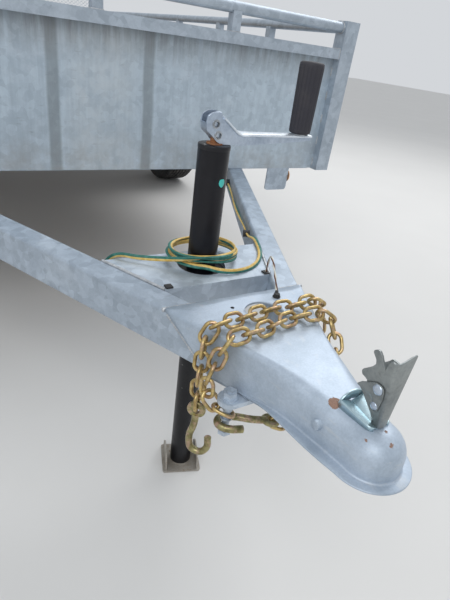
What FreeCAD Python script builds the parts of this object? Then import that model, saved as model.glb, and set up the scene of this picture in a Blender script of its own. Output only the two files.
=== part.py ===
import FreeCAD, Part

import math
import os

# Single-axle galvanised utility trailer, in millimetres.
# X is to the right seen from the front, Y runs rearwards, Z is up, the ground is at zero.
# Lengths along Y start at the virtual apex, where the outer faces of the tongue tubes meet.
# The finished model is moved along Y so that its box is centred on the origin.

V = FreeCAD.Vector

# Heights
BED_BOTTOM = 546.0          # underside of the bed frame and top of the tongue tubes
POST_TOP = 1054.0
CHORD_Z = (936.0, 968.0)
PIPE_Z = 1033.0

# Tongue
HALF_ANGLE = math.radians(25.4)
TUBE_WIDTH = 51.0
TUBE_HEIGHT = 76.0
TUBE_WALL = 4.0
TUBE_CORNER = 6.0
TONGUE_FRONT = 160.0
TONGUE_BOTTOM = BED_BOTTOM - TUBE_HEIGHT
SLOPE = math.tan(HALF_ANGLE)

# Bed
HALF_WIDTH = 919.0
POST_WIDTH = 60.0
POST_DEPTH = 50.0
POST_WALL = 4.0
BED_FRONT = 1095.0          # front face of the front corner posts
LOAD_LENGTH = 3048.0
SHEET = 2.0
SHEET_BACK = 30.0           # the front sheet lies this far behind the posts' faces
SIDE_SHEET_IN = 28.0        # the side sheets lie this far inside the posts' faces
HEM = 2.0                   # sheets end this far above the frame's underside
RAIL_WIDTH = 50.0
RAIL_HEIGHT = 76.0
CROSS_HEIGHT = 60.0
CROSS_WIDTH = 50.0
CROSS_WALL = 5.0
CROSS_COUNT = 7             # crossmembers between the front one and the rear sill
BOARD = 38.0
BOARD_COUNT = 10
BOARD_GAP = 3.0
CHORD_SETBACK = 5.0
CHORD_WALL = 3.0
PIPE_RADIUS = 16.7
PIPE_WALL = 3.0
UPRIGHT = 30.0
UPRIGHT_X = (-426.0, 0.0, 426.0)
STAKE_WIDTH = 60.0
STAKE_FRONT = (460.0, 901.0)    # from the load space's front
STAKE_REAR = 400.0              # from the bed's rear
STAKE_PAST = 43.0               # stakes beside a fender stand this far past its radius
SEAT = 0.3                  # small gap round curved seats

# Jack
JACK_Y = 432.4
JACK_TOP = 776.3
HOUSING_RADIUS = 28.6
HOUSING_WALL = 2.8
HOUSING_BOTTOM = 455.0
LEG_RADIUS = 25.4
LEG_WALL = 3.0
LEG_TOP = 532.0
LEG_FOOT = 8.0
FLANGE_THICK = 6.0
FLANGE_HALF = (90.0, 56.0)  # half sizes of the jack's flange, which lies under the plate
PLATE_HOLE = 48.0
PLATE_FRONT = 354.0
PLATE_REAR = 497.0
PLATE_THICK = 8.0
PLATE_WEB = 62.0

# Coupler
BALL_Y = -43.0
BALL_Z = 512.0
BALL_RADIUS = 25.4
SOCKET_GAP = 1.0
SOCKET_SEAT = (6.0, 10.0)    # the hollow narrows to the ball's seat between these heights over its middle
COUPLER_WALL = 4.0
COUPLER_REAR = 292.6
CHANNEL_FRONT = 165.0       # the coupler is a channel behind this, and a neck before it
CHANNEL_BOTTOM = 470.0
CHANNEL_GAP = 0.5
DOME_RADIUS = 42.0
DOME_TOP = 543.0
FLANGE_Z = (486.0, 491.0)
FLANGE_RADIUS = 55.0
FLANGE_REAR = (62.0, 118.0)
FLANGE_EDGE = ((69.0, 55.0, 60.0), (66.0, 9.0, 60.0))   # corners of the flange's side: x, y, rounding
SCREW = (64.0, 266.0)       # place of the ground wire's screw on the coupler

# Running gear
TYRE_RADIUS = 344.5
TYRE_HALF = 102.5
BEAD_RADIUS = 191.0
WHEEL_OUT = 152.0           # from the bed's side to the middle of a wheel
AXLE_SHARE = 0.59744        # place of the axle along the load space, from its front
BEAM = 60.0
BEAM_OUT = 26.0             # the axle's beam ends this far outside the bed's side
SPINDLE_RADIUS = 17.0
SPINDLE_GAP = 0.1
HUB_DEPTH = 80.0
SPRING_HALF = 330.0
SPRING_RISE = 60.0
SPRING_SEAT = 6.0
LEAF = 7.0
LEAF_COUNT = 5
LEAF_WIDTH = 45.0
SPRING_OUT = 12.0           # the springs' middles lie this far outside the rails' inner faces
EYE_RADIUS = 19.0
EYE_BORE = 7.0
FENDER_RADIUS = 405.0
FENDER_LIFT = 20.0
FENDER_SHEET = 2.5
FENDER_REACH = 271.0        # from the bed's side to a fender's outer face
FENDER_SKIRT = 35.0

# Gate
GATE_IN = 14.0              # the gate ends this far inside the bed's side
GATE_BOTTOM = 575.0
GATE_HEIGHT = 1219.0
GATE_TUBE = 38.0
GATE_WALL = 2.5
GATE_GAP = 8.0
MESH = 1.8
MESH_GAP = 0.3
MESH_PITCH = 92.0
MESH_STRAND = 9.0
HINGE_IN = 169.0            # from the bed's side to the middle of an outer hinge
HINGE_SHARE = 0.4           # place of an inner hinge as a share of an outer one's
HINGE_DROP = 10.0
HINGE_BACK = 17.0
BARREL_RADIUS = 14.0
BARREL_HALF = 30.0
PIN_RADIUS = 8.0
PIN_GAP = 0.1
LUG = 8.0
LUG_RADIUS = 12.0
LUG_GAP = 1.0

# Lamps
LAMP_IN = 169.0             # from the bed's side to the outer side of a front lamp's plate
LAMP_PLATE = 100.0
LAMP_LOW = 463.0
LAMP_Z = 512.0
TAIL_BOX = (110.0, 106.0)   # width and height of a rear lamp's box
TAIL_RADIUS = 49.0
TAIL_DROP = 52.0            # the rear lamps' middles lie this far under the bed frame
MARKER_RADIUS = 27.0
NUMBER_HALF = 150.0
NUMBER_DROP = (150.0, 10.0)
NUMBER_TAB = (30.0, 60.0)
SMALL_LAMP = (32.0, 7.0)
SMALL_PITCH = 110.0

# Chains
WIRE = 7.2
LINK_WIDTH = 28.5
PITCH = 26.0
LINK_SLACK = 0.7
LINK_SIDES = 5
EAR_THICK = 8.0
EAR_X = 95.0
EAR_END = 18.0
EAR_Y = 143.0
CHAIN_Z = 440.0             # height of the first links
NUT_Z = 400.0
HOOK_WIRE = 6.0
EYE_SEAT = 4.7              # from a chain's end to the middle of its hook's eye
HOOK_ASIDE = 9.5            # the held hook aims this far beside its bolt

# Wiring
LEAD_RADIUS = 5.0
GROUND_RADIUS = 2.4
COIL_CENTRE = (14.0, 454.0)
COIL_RADIUS = 78.0
COIL_HEIGHT = 44.0
GROMMET_HALF = 6.5
GROMMET_THICK = 3.0
COIL_GAP = 0.6

# Places that follow from the sizes above
SHEET_FRONT = BED_FRONT + SHEET_BACK
INSIDE_FRONT = SHEET_FRONT + SHEET
BED_REAR = INSIDE_FRONT + LOAD_LENGTH
POST_IN = HALF_WIDTH - POST_WIDTH
AXLE_Y = INSIDE_FRONT + LOAD_LENGTH * AXLE_SHARE
SHEET_X = HALF_WIDTH - SIDE_SHEET_IN
WHEEL_X = HALF_WIDTH + WHEEL_OUT
BEAM_END = HALF_WIDTH + BEAM_OUT
FENDER_OUT = HALF_WIDTH + FENDER_REACH
GATE_HALF = HALF_WIDTH - GATE_IN
HINGE_X = [(HALF_WIDTH - HINGE_IN) * share for share in (-1, -HINGE_SHARE, HINGE_SHARE, 1)]
LAMP_X = (HALF_WIDTH - LAMP_IN - LAMP_PLATE, HALF_WIDTH - LAMP_IN)
RAIL_X = (SHEET_X - SHEET - RAIL_WIDTH, SHEET_X - SHEET)
POST_Y = ((BED_FRONT, BED_FRONT + POST_DEPTH), (BED_REAR - POST_DEPTH, BED_REAR))
CROSS_TOP = BED_BOTTOM + CROSS_HEIGHT
DECK_TOP = CROSS_TOP + BOARD
CROSS_PITCH = (POST_Y[1][0] - INSIDE_FRONT - CROSS_WIDTH) / (CROSS_COUNT + 1)
CROSS_Y = [INSIDE_FRONT + i * CROSS_PITCH for i in range(CROSS_COUNT + 1)]
TONGUE_REAR = CROSS_Y[1] + CROSS_WIDTH
AXLE_Z = TYRE_RADIUS
SPRING_X = RAIL_X[0] + SPRING_OUT
SPRING_R = (SPRING_HALF ** 2 + SPRING_RISE ** 2) / (2 * SPRING_RISE)
SPRING_C = AXLE_Z + BEAM / 2 + SPRING_SEAT + SPRING_R + LEAF * LEAF_COUNT
EYE_ANGLE = math.asin(SPRING_HALF / SPRING_R)
EYE_DY = (SPRING_R + LEAF - EYE_RADIUS) * math.sin(EYE_ANGLE)
EYE_Z = SPRING_C - (SPRING_R + LEAF - EYE_RADIUS) * math.cos(EYE_ANGLE)
FENDER_Z = AXLE_Z + FENDER_LIFT
STAKE_Y = [INSIDE_FRONT + y for y in STAKE_FRONT]
STAKE_Y += [AXLE_Y - FENDER_RADIUS - STAKE_PAST, AXLE_Y + FENDER_RADIUS + STAKE_PAST, BED_REAR - STAKE_REAR]
SIDE_UPRIGHT_Y = STAKE_Y[:3] + [AXLE_Y] + STAKE_Y[3:]
FRONT_PIPE_Y = BED_FRONT + CHORD_SETBACK + (POST_DEPTH - CHORD_SETBACK) / 2
SIDE_PIPE_X = HALF_WIDTH - POST_WIDTH / 2
MESH_FRONT = BED_REAR + GATE_GAP
GATE_FRONT = MESH_FRONT + 2 * MESH + MESH_GAP
GATE_REAR = GATE_FRONT + GATE_TUBE
HINGE_Y = GATE_REAR + HINGE_BACK
HINGE_Z = GATE_BOTTOM - HINGE_DROP
COUPLER_TOP = BED_BOTTOM + COUPLER_WALL
EAR_TOP = TONGUE_BOTTOM
FLANGE_TOP = BED_BOTTOM - PLATE_THICK
COIL_Z = (BED_BOTTOM + COIL_GAP, BED_BOTTOM + COIL_GAP + COIL_HEIGHT)
MODEL_FRONT = BALL_Y - FLANGE_RADIUS
MODEL_REAR = HINGE_Y + BARREL_RADIUS
Y_SHIFT = -(MODEL_FRONT + MODEL_REAR) / 2

NORMAL = {"XY": V(0, 0, 1), "XZ": V(0, 1, 0), "YZ": V(1, 0, 0)}


def spot(u, v, plane, at):
    """Point (u, v) of the named plane that lies at that distance along its normal."""
    if plane == "XY":
        return V(u, v, at)
    if plane == "XZ":
        return V(u, at, v)
    return V(at, u, v)


def outline(corners, plane="XY", at=0.0):
    """Closed wire through corners (u, v) or (u, v, radius); a radius rounds its corner."""
    places = [spot(c[0], c[1], plane, at) for c in corners]
    joints = []
    for i, corner in enumerate(corners):
        place = places[i]
        if len(corner) < 3:
            joints.append((place, None, place))
            continue
        before = (places[i - 1] - place).normalize()
        after = (places[(i + 1) % len(places)] - place).normalize()
        half = before.getAngle(after) / 2
        reach = corner[2] / math.tan(half)
        inward = (before + after).normalize() * (corner[2] / math.sin(half) - corner[2])
        joints.append((place + before * reach, place + inward, place + after * reach))
    edges = []
    for i, (start, middle, end) in enumerate(joints):
        if middle is not None:
            edges.append(Part.Arc(start, middle, end).toShape())
        following = joints[(i + 1) % len(joints)][0]
        if end.distanceToPoint(following) > 1e-6:
            edges.append(Part.LineSegment(end, following).toShape())
    return Part.Wire(edges)


def plate_face(corners, plane, at):
    """Flat face with that outline."""
    return Part.makeFace([outline(corners, plane, at)], "Part::FaceMakerBullseye")


def plate(corners, plane, span, holes=()):
    """Flat piece with that outline, from span[0] to span[1] along its normal; holes are (u, v, radius)."""
    wires = [outline(corners, plane, span[0])]
    for u, v, radius in holes:
        ring = Part.Circle(spot(u, v, plane, span[0]), NORMAL[plane], radius)
        wires.append(Part.Wire([ring.toShape()]))
    face = Part.makeFace(wires, "Part::FaceMakerBullseye")
    return face.extrude(NORMAL[plane] * (span[1] - span[0]))


def box(x, y, z):
    """Block between the low and high sides x, y and z."""
    return Part.makeBox(x[1] - x[0], y[1] - y[0], z[1] - z[0], V(x[0], y[0], z[0]))


def box_tube(x, y, z, wall, along, caps=(0.0, 0.0)):
    """Hollow block that runs along axis 0, 1 or 2; caps are the thicknesses of its closed ends."""
    inner = [(s[0] + wall, s[1] - wall) for s in (x, y, z)]
    run = (x, y, z)[along]
    inner[along] = (run[0] + caps[0], run[1] - caps[1])
    return box(x, y, z).cut(box(*inner))


def rod(start, end, radius, bore=0.0):
    """Round bar between two points, or a pipe if it has a bore."""
    start, end = V(*start), V(*end)
    bar = Part.makeCylinder(radius, (end - start).Length, start, end - start)
    if bore:
        bar = bar.cut(Part.makeCylinder(bore, (end - start).Length, start, end - start))
    return bar


def turned(profile, centre=(0, 0, 0), along="Z"):
    """Profile corners (radius, height, rounding) turned about the axis through centre."""
    solid = Part.makeFace([outline(profile, "XZ")], "Part::FaceMakerBullseye")
    solid = solid.revolve(V(0, 0, 0), V(0, 0, 1), 360)
    if along == "X":
        solid.rotate(V(0, 0, 0), V(0, 1, 0), 90)
    if along == "Y":
        solid.rotate(V(0, 0, 0), V(1, 0, 0), -90)
    solid.translate(V(*centre))
    return solid


def hexagon(centre, across, height):
    """Upright hexagonal nut or head of that width across its flats, on a base centre."""
    radius = across / math.sqrt(3)
    corners = [(centre[0] + radius * math.cos(i * math.pi / 3), centre[1] + radius * math.sin(i * math.pi / 3))
               for i in range(6)]
    return plate(corners, "XY", (centre[2], centre[2] + height))


def joined(shapes):
    """One solid made from touching shapes."""
    return shapes[0].multiFuse(shapes[1:]).removeSplitter() if len(shapes) > 1 else shapes[0]


def both_sides(solids):
    """The solids and their mirror images across the middle plane."""
    return list(solids) + [s.mirror(V(0, 0, 0), V(1, 0, 0)) for s in solids]


def route_wire(points, share=0.45, bend=None):
    """Straight runs between points, each corner an arc: of radius bend, or one that takes a share of its runs."""
    places = [V(*p) for p in points]
    edges = []
    start = places[0]
    radii = []
    for before, place, after in zip(places, places[1:], places[2:]):
        back, ahead = before - place, after - place
        half = back.getAngle(ahead) / 2
        reach = bend / math.tan(half) if bend else share * min(back.Length, ahead.Length)
        radius = reach * math.tan(half)
        back, ahead = back.normalize(), ahead.normalize()
        middle = place + (back + ahead).normalize() * (radius / math.sin(half) - radius)
        edges.append(Part.LineSegment(start, place + back * reach).toShape())
        edges.append(Part.Arc(place + back * reach, middle, place + ahead * reach).toShape())
        start = place + ahead * reach
        radii.append(radius)
    edges.append(Part.LineSegment(start, places[-1]).toShape())
    return Part.Wire(edges), radii


def cord_tube(name, points, radius):
    """Round cord along a route; prints its length and arc radii."""
    wire, radii = route_wire(points)
    ring = Part.Circle(V(*points[0]), V(*points[1]) - V(*points[0]), radius)
    tube = wire.makePipeShell([Part.Wire([ring.toShape()])], True, False)
    ratio = tube.Volume / (math.pi * radius ** 2 * wire.Length)
    print(name, "length", round(wire.Length), "volume ratio", round(ratio, 4), "radii", [round(r) for r in radii])
    return tube


def tongue_side(y, inset=0.0):
    """Distance from the middle plane to the outer face of a tongue tube, less an inset into the tube."""
    return y * SLOPE - inset / math.cos(HALF_ANGLE)


def tongue_tubes():
    """Two rounded box tubes that spread rearwards and end under the second crossmember."""
    def section(inset, corner):
        out, near = tongue_side(TONGUE_FRONT, inset), tongue_side(TONGUE_FRONT, TUBE_WIDTH - inset)
        low, high = TONGUE_BOTTOM + inset, BED_BOTTOM - inset
        return outline([(near, low, corner), (out, low, corner), (out, high, corner), (near, high, corner)],
                       "XZ", TONGUE_FRONT)

    length = TONGUE_REAR - TONGUE_FRONT
    wires = [section(0.0, TUBE_CORNER), section(TUBE_WALL, TUBE_CORNER - TUBE_WALL)]
    face = Part.makeFace(wires, "Part::FaceMakerBullseye")
    return both_sides([face.extrude(V(length * SLOPE, length, 0))])


def jack_plate():
    """Folded plate between the tongue tubes, bored for the jack, with a web at each edge."""
    def strip(y, z, holes=()):
        wide, narrow = tongue_side(y[1], TUBE_WIDTH), tongue_side(y[0], TUBE_WIDTH)
        return plate([(-narrow, y[0]), (narrow, y[0]), (wide, y[1]), (-wide, y[1])], "XY", z, holes)

    top = strip((PLATE_FRONT, PLATE_REAR), (BED_BOTTOM - PLATE_THICK, BED_BOTTOM),
                [(0, JACK_Y, PLATE_HOLE)])
    web = (BED_BOTTOM - PLATE_WEB, BED_BOTTOM - PLATE_THICK)
    front = strip((PLATE_FRONT, PLATE_FRONT + PLATE_THICK), web)
    rear = strip((PLATE_REAR - PLATE_THICK, PLATE_REAR), web)
    return [joined([top, front, rear])]


def coupler_section(y, half_top, half_bottom, top, bottom, corner):
    """Upright section of the coupler: a trapezoid with rounded shoulders."""
    return outline([(-half_bottom, bottom), (half_bottom, bottom), (half_top, top, corner),
                    (-half_top, top, corner)], "XZ", y)


# Neck sections: y, half width at the top, at the bottom, top, bottom, shoulder radius
CHANNEL_SIDE = tongue_side(CHANNEL_FRONT) + CHANNEL_GAP + COUPLER_WALL
NECK_SECTIONS = (
    (CHANNEL_FRONT, CHANNEL_SIDE, CHANNEL_SIDE, COUPLER_TOP, CHANNEL_BOTTOM, 7.0),
    (118.0, 58.0, 66.0, COUPLER_TOP, 473.0, 10.0),
    (66.0, 42.0, 58.0, COUPLER_TOP - 1, 486.0, 13.0),
    (30.0, 31.0, 51.0, COUPLER_TOP - 8, 486.0, 15.0),
    (-10.0, 28.0, 44.0, COUPLER_TOP - 13, 486.0, 15.0),
    (-43.0, 26.0, 40.0, COUPLER_TOP - 15, 486.0, 15.0))


def coupler_block(inset, past):
    """Solid channel and neck, less an inset at the sides and top, past the channel's ends and underside."""
    length = COUPLER_REAR - CHANNEL_FRONT + past
    sections = [coupler_section(y, top_half - inset, bottom_half - inset, top - inset, bottom - past,
                                max(corner - inset, 1.0))
                for y, top_half, bottom_half, top, bottom, corner in NECK_SECTIONS]
    side, near = CHANNEL_SIDE - inset, -length * SLOPE - 1
    low, high = CHANNEL_BOTTOM - past, COUPLER_TOP - inset
    half = plate_face([(near, low), (side, low), (side, high, 7.0 - inset), (near, high)], "XZ", CHANNEL_FRONT)
    half = half.extrude(V(length * SLOPE, length, 0))
    return joined([half, half.mirror(V(0, 0, 0), V(1, 0, 0)), Part.makeLoft(sections, True, True)])


def coupler_dome():
    """Solid outer shape of the ball's socket."""
    return turned([(0, FLANGE_Z[0]), (DOME_RADIUS + 3, FLANGE_Z[0]), (DOME_RADIUS, DOME_TOP, 24.0),
                   (0, DOME_TOP)], (0, BALL_Y, 0))


def coupler_body():
    """Pressed ball coupler: a channel over the tongue tubes, a neck, a flange and the socket's dome."""
    dome = coupler_dome()
    rear = FLANGE_REAR
    flange = plate([rear] + list(FLANGE_EDGE) + [(FLANGE_RADIUS + 4, BALL_Y - FLANGE_RADIUS, 54.0),
                   (-FLANGE_RADIUS - 4, BALL_Y - FLANGE_RADIUS, 54.0)]
                   + [(-x, y, r) for x, y, r in reversed(FLANGE_EDGE)] + [(-rear[0], rear[1])], "XY", FLANGE_Z)
    hollow, seat = DOME_RADIUS - COUPLER_WALL, BALL_RADIUS + SOCKET_GAP
    socket = turned([(0, FLANGE_Z[0] - 1), (hollow, FLANGE_Z[0] - 1), (hollow, BALL_Z + SOCKET_SEAT[0]),
                     (seat, BALL_Z + SOCKET_SEAT[1]), (seat, BALL_Z + seat, 14.0), (0, BALL_Z + seat)],
                    (0, BALL_Y, 0))
    body = joined([coupler_block(0.0, 0.0), dome, flange]).cut(coupler_block(COUPLER_WALL, 1.0)).cut(socket)
    for x, y, radius in ((14.0, 230.0, 33.0), (-33.0, 258.0, 3.0)):
        body = body.cut(rod((x, y, BED_BOTTOM - 1), (x, y, COUPLER_TOP + 1), radius))
    rivets = [rod((side * 40, 14, 514), (side * 57, 14, 514), 9.0) for side in (-1, 1)]
    return [joined([body] + rivets)]


def coupler_latch():
    """Folded latch lever, standing open behind the dome, on its wedge-shaped yoke."""
    cheek = [(-40.0, 546.0), (-40.0, 650.0, 3.0), (-34.0, 650.0, 2.0), (-31.0, 634.0, 4.0), (-22.0, 648.0, 3.0),
             (-13.0, 642.0, 3.0), (-4.0, 612.0, 6.0), (5.0, 588.0, 5.0), (-3.0, 572.0, 5.0), (4.0, 548.0, 3.0)]
    near = plate(cheek, "YZ", (-18.0, -15.0))
    far = plate(cheek, "YZ", (15.0, 18.0))
    web = box((-18.0, 18.0), (-40.0, -37.0), (546.0, 650.0))
    rear = outline([(-27.0, 530.0), (27.0, 530.0), (18.0, 556.0, 6.0), (-18.0, 556.0, 6.0)], "XZ", 22.0)
    tip = outline([(-12.0, 534.0), (12.0, 534.0), (9.0, 554.0, 3.0), (-9.0, 554.0, 3.0)], "XZ", -42.0)
    yoke = Part.makeLoft([rear, tip], True, True)
    seat = coupler_block(0.0, 0.0).fuse(coupler_dome())
    seat.translate(V(0, 0, SEAT))
    yoke = yoke.cut(seat)
    pins = [rod((-22.0, y, z), (22.0, y, z), 4.5) for y, z in ((-26.0, 600.0), (-26.0, 565.0))]
    return [joined([near, far, web, yoke] + pins)]


def chain_ears():
    """Cross plate under the tongue that holds a chain bolt at each end."""
    reach = EAR_X + EAR_END
    corner = EAR_END - 0.1
    ear = plate([(-reach, EAR_Y - EAR_END, corner), (reach, EAR_Y - EAR_END, corner),
                 (reach, EAR_Y + EAR_END, corner), (-reach, EAR_Y + EAR_END, corner)], "XY",
                (EAR_TOP - EAR_THICK, EAR_TOP))
    bolts = []
    for side in (-1, 1):
        x = side * EAR_X
        bolts += [rod((x, EAR_Y, NUT_Z - 4), (x, EAR_Y, EAR_TOP + 15), 6.0),
                  rod((x, EAR_Y, EAR_TOP), (x, EAR_Y, EAR_TOP + 2.5), 13.0),
                  hexagon((x, EAR_Y, EAR_TOP + 2.5), 19.0, 10.0),
                  hexagon((x, EAR_Y, NUT_Z), 19.0, 8.0),
                  rod((x, EAR_Y, CHAIN_Z + 7), (x, EAR_Y, EAR_TOP - EAR_THICK), 8.0),
                  rod((x, EAR_Y, CHAIN_Z - 10), (x, EAR_Y, CHAIN_Z - 8), 9.5)]
    return [joined([ear] + bolts)]


def chain_link():
    """One link in the XY plane, its long way along X: a flat-sided wire on a racetrack of eight straights."""
    bend = (LINK_WIDTH - WIRE) / 2
    straight = PITCH / 2 + WIRE / 2 + LINK_SLACK - bend
    track = []
    for side in (1, -1):
        for degrees in (-67.5, -22.5, 22.5, 67.5):
            angle = math.radians(degrees)
            stretch = bend / math.cos(math.radians(22.5))
            track.append(V(side * (straight + stretch * math.cos(angle)), side * stretch * math.sin(angle), 0))
    rings = []
    for i, place in enumerate(track):
        before = (place - track[i - 1]).normalize()
        after = (track[(i + 1) % len(track)] - place).normalize()
        outward = (before - after).normalize()
        stretch = 1 / math.cos(before.getAngle(after) / 2)
        ring = []
        for k in range(LINK_SIDES):
            angle = 2 * math.pi * k / LINK_SIDES
            ring.append(place + outward * (math.cos(angle) * stretch * WIRE / 2)
                        + V(0, 0, math.sin(angle) * WIRE / 2))
        rings.append(ring)
    faces = []
    for i, ring in enumerate(rings):
        ahead = rings[(i + 1) % len(rings)]
        for k in range(LINK_SIDES):
            other = (k + 1) % LINK_SIDES
            corners = [ring[k], ring[other], ahead[other], ahead[k], ring[k]]
            faces.append(Part.Face(Part.makePolygon(corners)))
    solid = Part.Solid(Part.Shell(faces))
    if solid.Volume < 0:
        solid.reverse()
    return solid


def link_frames(route, sense, last):
    """Frames (start, end, along, across) of the links along a route round the tongue.

    Each link is a quarter turn from the one before. They also lean by up to an eighth of a turn, so that
    they lie diagonally on the tongue, and the end ones lean by 0 and by last degrees.
    """
    curve = Part.BSplineCurve()
    curve.interpolate([V(*p) for p in route])
    count = round(curve.length() / PITCH)
    places = curve.discretize(Number=count + 1)
    frames = []
    for i, (start, end) in enumerate(zip(places, places[1:])):
        along = (end - start).normalize()
        outward = along.cross(V(0, sense, 0)).normalize()
        left = min(count - 1 - i, 3)
        lean = 15 * min(i, 3) if left == 3 else last + (45 - last) * left / 3
        angle = math.radians(90 * i + lean)
        across = outward.cross(along) * math.cos(angle) + outward * math.sin(angle)
        frames.append((start, end, along, across))
    return frames


def chain(route, sense, last):
    """One link on each frame of the route."""
    link = chain_link()
    links = []
    for start, end, along, across in link_frames(route, sense, last):
        face = along.cross(across)
        middle = (start + end) * 0.5
        matrix = FreeCAD.Matrix(along.x, across.x, face.x, middle.x, along.y, across.y, face.y, middle.y,
                                along.z, across.z, face.z, middle.z, 0, 0, 0, 1)
        placed = link.copy()
        placed.Placement = FreeCAD.Placement(matrix)
        links.append(placed)
    return links


# The left chain goes from its ear over the tongue as the front strand and back under it to its hook.
LEFT_CHAIN = (
    (-90.5, 138.5, 438.5), (-99.6, 147.7, 441), (-108.5, 156.8, 445.5), (-117, 165.5, 456), (-121.5, 169, 472),
    (-121, 169, 491), (-114, 169, 512), (-107, 168.5, 530), (-103, 167, 546), (-97, 165, 558), (-86, 163.5, 565),
    (-70, 163, 565.5), (-50, 165, 563.5), (-20, 171, 563), (10, 178, 563), (36, 181, 563), (58, 180, 563.5),
    (74, 178, 565), (88, 175, 565), (99, 171, 560), (105, 165, 550), (107, 156, 536), (104, 143, 519), (98, 128, 502),
    (93, 114, 484), (89, 107, 460), (85, 103, 433), (69, 102, 410), (40, 106, 399), (12, 115, 398),
    (-14.5, 124.5, 408.6))
# The right chain goes from its ear over the tongue as the rear strand and hangs with its hook.
RIGHT_CHAIN = (
    (90.5, 138.5, 438.5), (99.6, 147.7, 441), (108.5, 156.8, 445.5), (116.5, 168, 456), (121, 182, 473.5),
    (122, 197, 494), (122.5, 208, 517), (122.5, 212, 535), (122, 213.5, 549), (116, 214, 560.5), (104, 214, 565),
    (90, 213, 565), (62, 212, 563.5), (26, 214, 563), (-12, 212, 563), (-50, 206, 563.5), (-76, 203, 565),
    (-98, 200, 565), (-109, 199, 560), (-115, 199, 549), (-117, 198, 535), (-118, 197, 515), (-119, 196, 494),
    (-120, 195, 464), (-119, 195, 437), (-118, 195, 415))
CHAIN_ROUTES = ((LEFT_CHAIN, 1, 0), (RIGHT_CHAIN, -1, 45))


def safety_chain_left():
    return chain(*CHAIN_ROUTES[0])


def safety_chain_right():
    return chain(*CHAIN_ROUTES[1])


def hook(eye, away, normal):
    """Forged hook whose eye is centred there, its shank along away, in the plane square to normal."""
    path = ((0, 0, -9), (1, 0, -34), (8, 0, -60), (4, 0, -88), (-16, 0, -93), (-27, 0, -76), (-25, 0, -54))
    line, radii = route_wire(path)
    ring = Part.Circle(V(*path[0]), V(*path[1]) - V(*path[0]), HOOK_WIRE)
    body = line.makePipeShell([Part.Wire([ring.toShape()])], True, False)
    hole = Part.makeCylinder(6.5, 2 * HOOK_WIRE, V(0, -HOOK_WIRE, 0), V(0, 1, 0))
    rim = turned([(6.5, -3.5), (14, -3.5), (15.5, -2), (15.5, 2), (14, 3.5), (6.5, 3.5)], along="Y")
    shape = joined([body.cut(hole), rim])
    across = normal.cross(away * -1)
    shape.Placement = FreeCAD.Placement(FreeCAD.Matrix(
        across.x, normal.x, -away.x, eye.x, across.y, normal.y, -away.y, eye.y,
        across.z, normal.z, -away.z, eye.z, 0, 0, 0, 1))
    return shape


def chain_hooks():
    """The hooks at the chains' free ends: one hangs on the left, one is round the left ear's bolt."""
    bolt = V(-EAR_X, EAR_Y, CHAIN_Z - 22)
    hooks = []
    for route, held in zip(CHAIN_ROUTES, (True, False)):
        start, end, along, across = link_frames(*route)[-1]
        eye = end + along * EYE_SEAT
        away = V(0, 0, -1)
        if held:
            reach = bolt - eye
            away = reach + V(reach.y, -reach.x, 0).normalize() * HOOK_ASIDE
        away = away.normalize()
        normal = (across - away * across.dot(away)).normalize()
        hooks.append(hook(eye, away, normal if normal.z > -0.5 else normal * -1))
    return hooks


def jack_housing():
    """Outer tube of the jack with its closed top, and its flange bolted under the plate."""
    inner = HOUSING_RADIUS - HOUSING_WALL
    tube = turned([(inner, HOUSING_BOTTOM), (HOUSING_RADIUS, HOUSING_BOTTOM), (HOUSING_RADIUS, JACK_TOP, 3.0),
                   (0, JACK_TOP), (0, JACK_TOP - 5), (inner, JACK_TOP - 5)], (0, JACK_Y, 0))
    x, y = FLANGE_HALF
    corner = 14.0
    flange = plate([(-x, JACK_Y - y, corner), (x, JACK_Y - y, corner), (x, JACK_Y + y, corner),
                    (-x, JACK_Y + y, corner)], "XY", (FLANGE_TOP - FLANGE_THICK, FLANGE_TOP),
                   [(0, JACK_Y, HOUSING_RADIUS - 0.5)])
    bolts = [hexagon((u * (x - 16), JACK_Y + v * (y - 16), FLANGE_TOP - FLANGE_THICK - 6), 15.0, 6.0)
             for u in (-1, 1) for v in (-1, 1)]
    return [joined([tube, flange] + bolts)]


def jack_leg_tube():
    """Inner tube of the jack, which slides in the housing."""
    return [rod((0, JACK_Y, LEG_FOOT), (0, JACK_Y, LEG_TOP), LEG_RADIUS, LEG_RADIUS - LEG_WALL)]


def jack_foot():
    """Pressed foot: a base, a collar for the leg and two upturned wings, turned as it stands."""
    base = plate([(-46, -44, 6), (46, -44, 6), (46, 44, 6), (-46, 44, 6)], "XY", (0, 4))
    collar = rod((0, 0, 4), (0, 0, LEG_FOOT), LEG_RADIUS)
    wing = [(-40, 2), (40, 2), (37, 27, 10), (20, 42, 16), (-20, 42, 16), (-37, 27, 10)]
    wings = [plate(wing, "YZ", (side - 1.5, side + 1.5)) for side in (-38.0, 38.0)]
    foot = joined([base, collar] + wings)
    foot.rotate(V(0, 0, 0), V(0, 0, 1), -20)
    foot.translate(V(0, JACK_Y, 0))
    return [foot]


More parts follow.
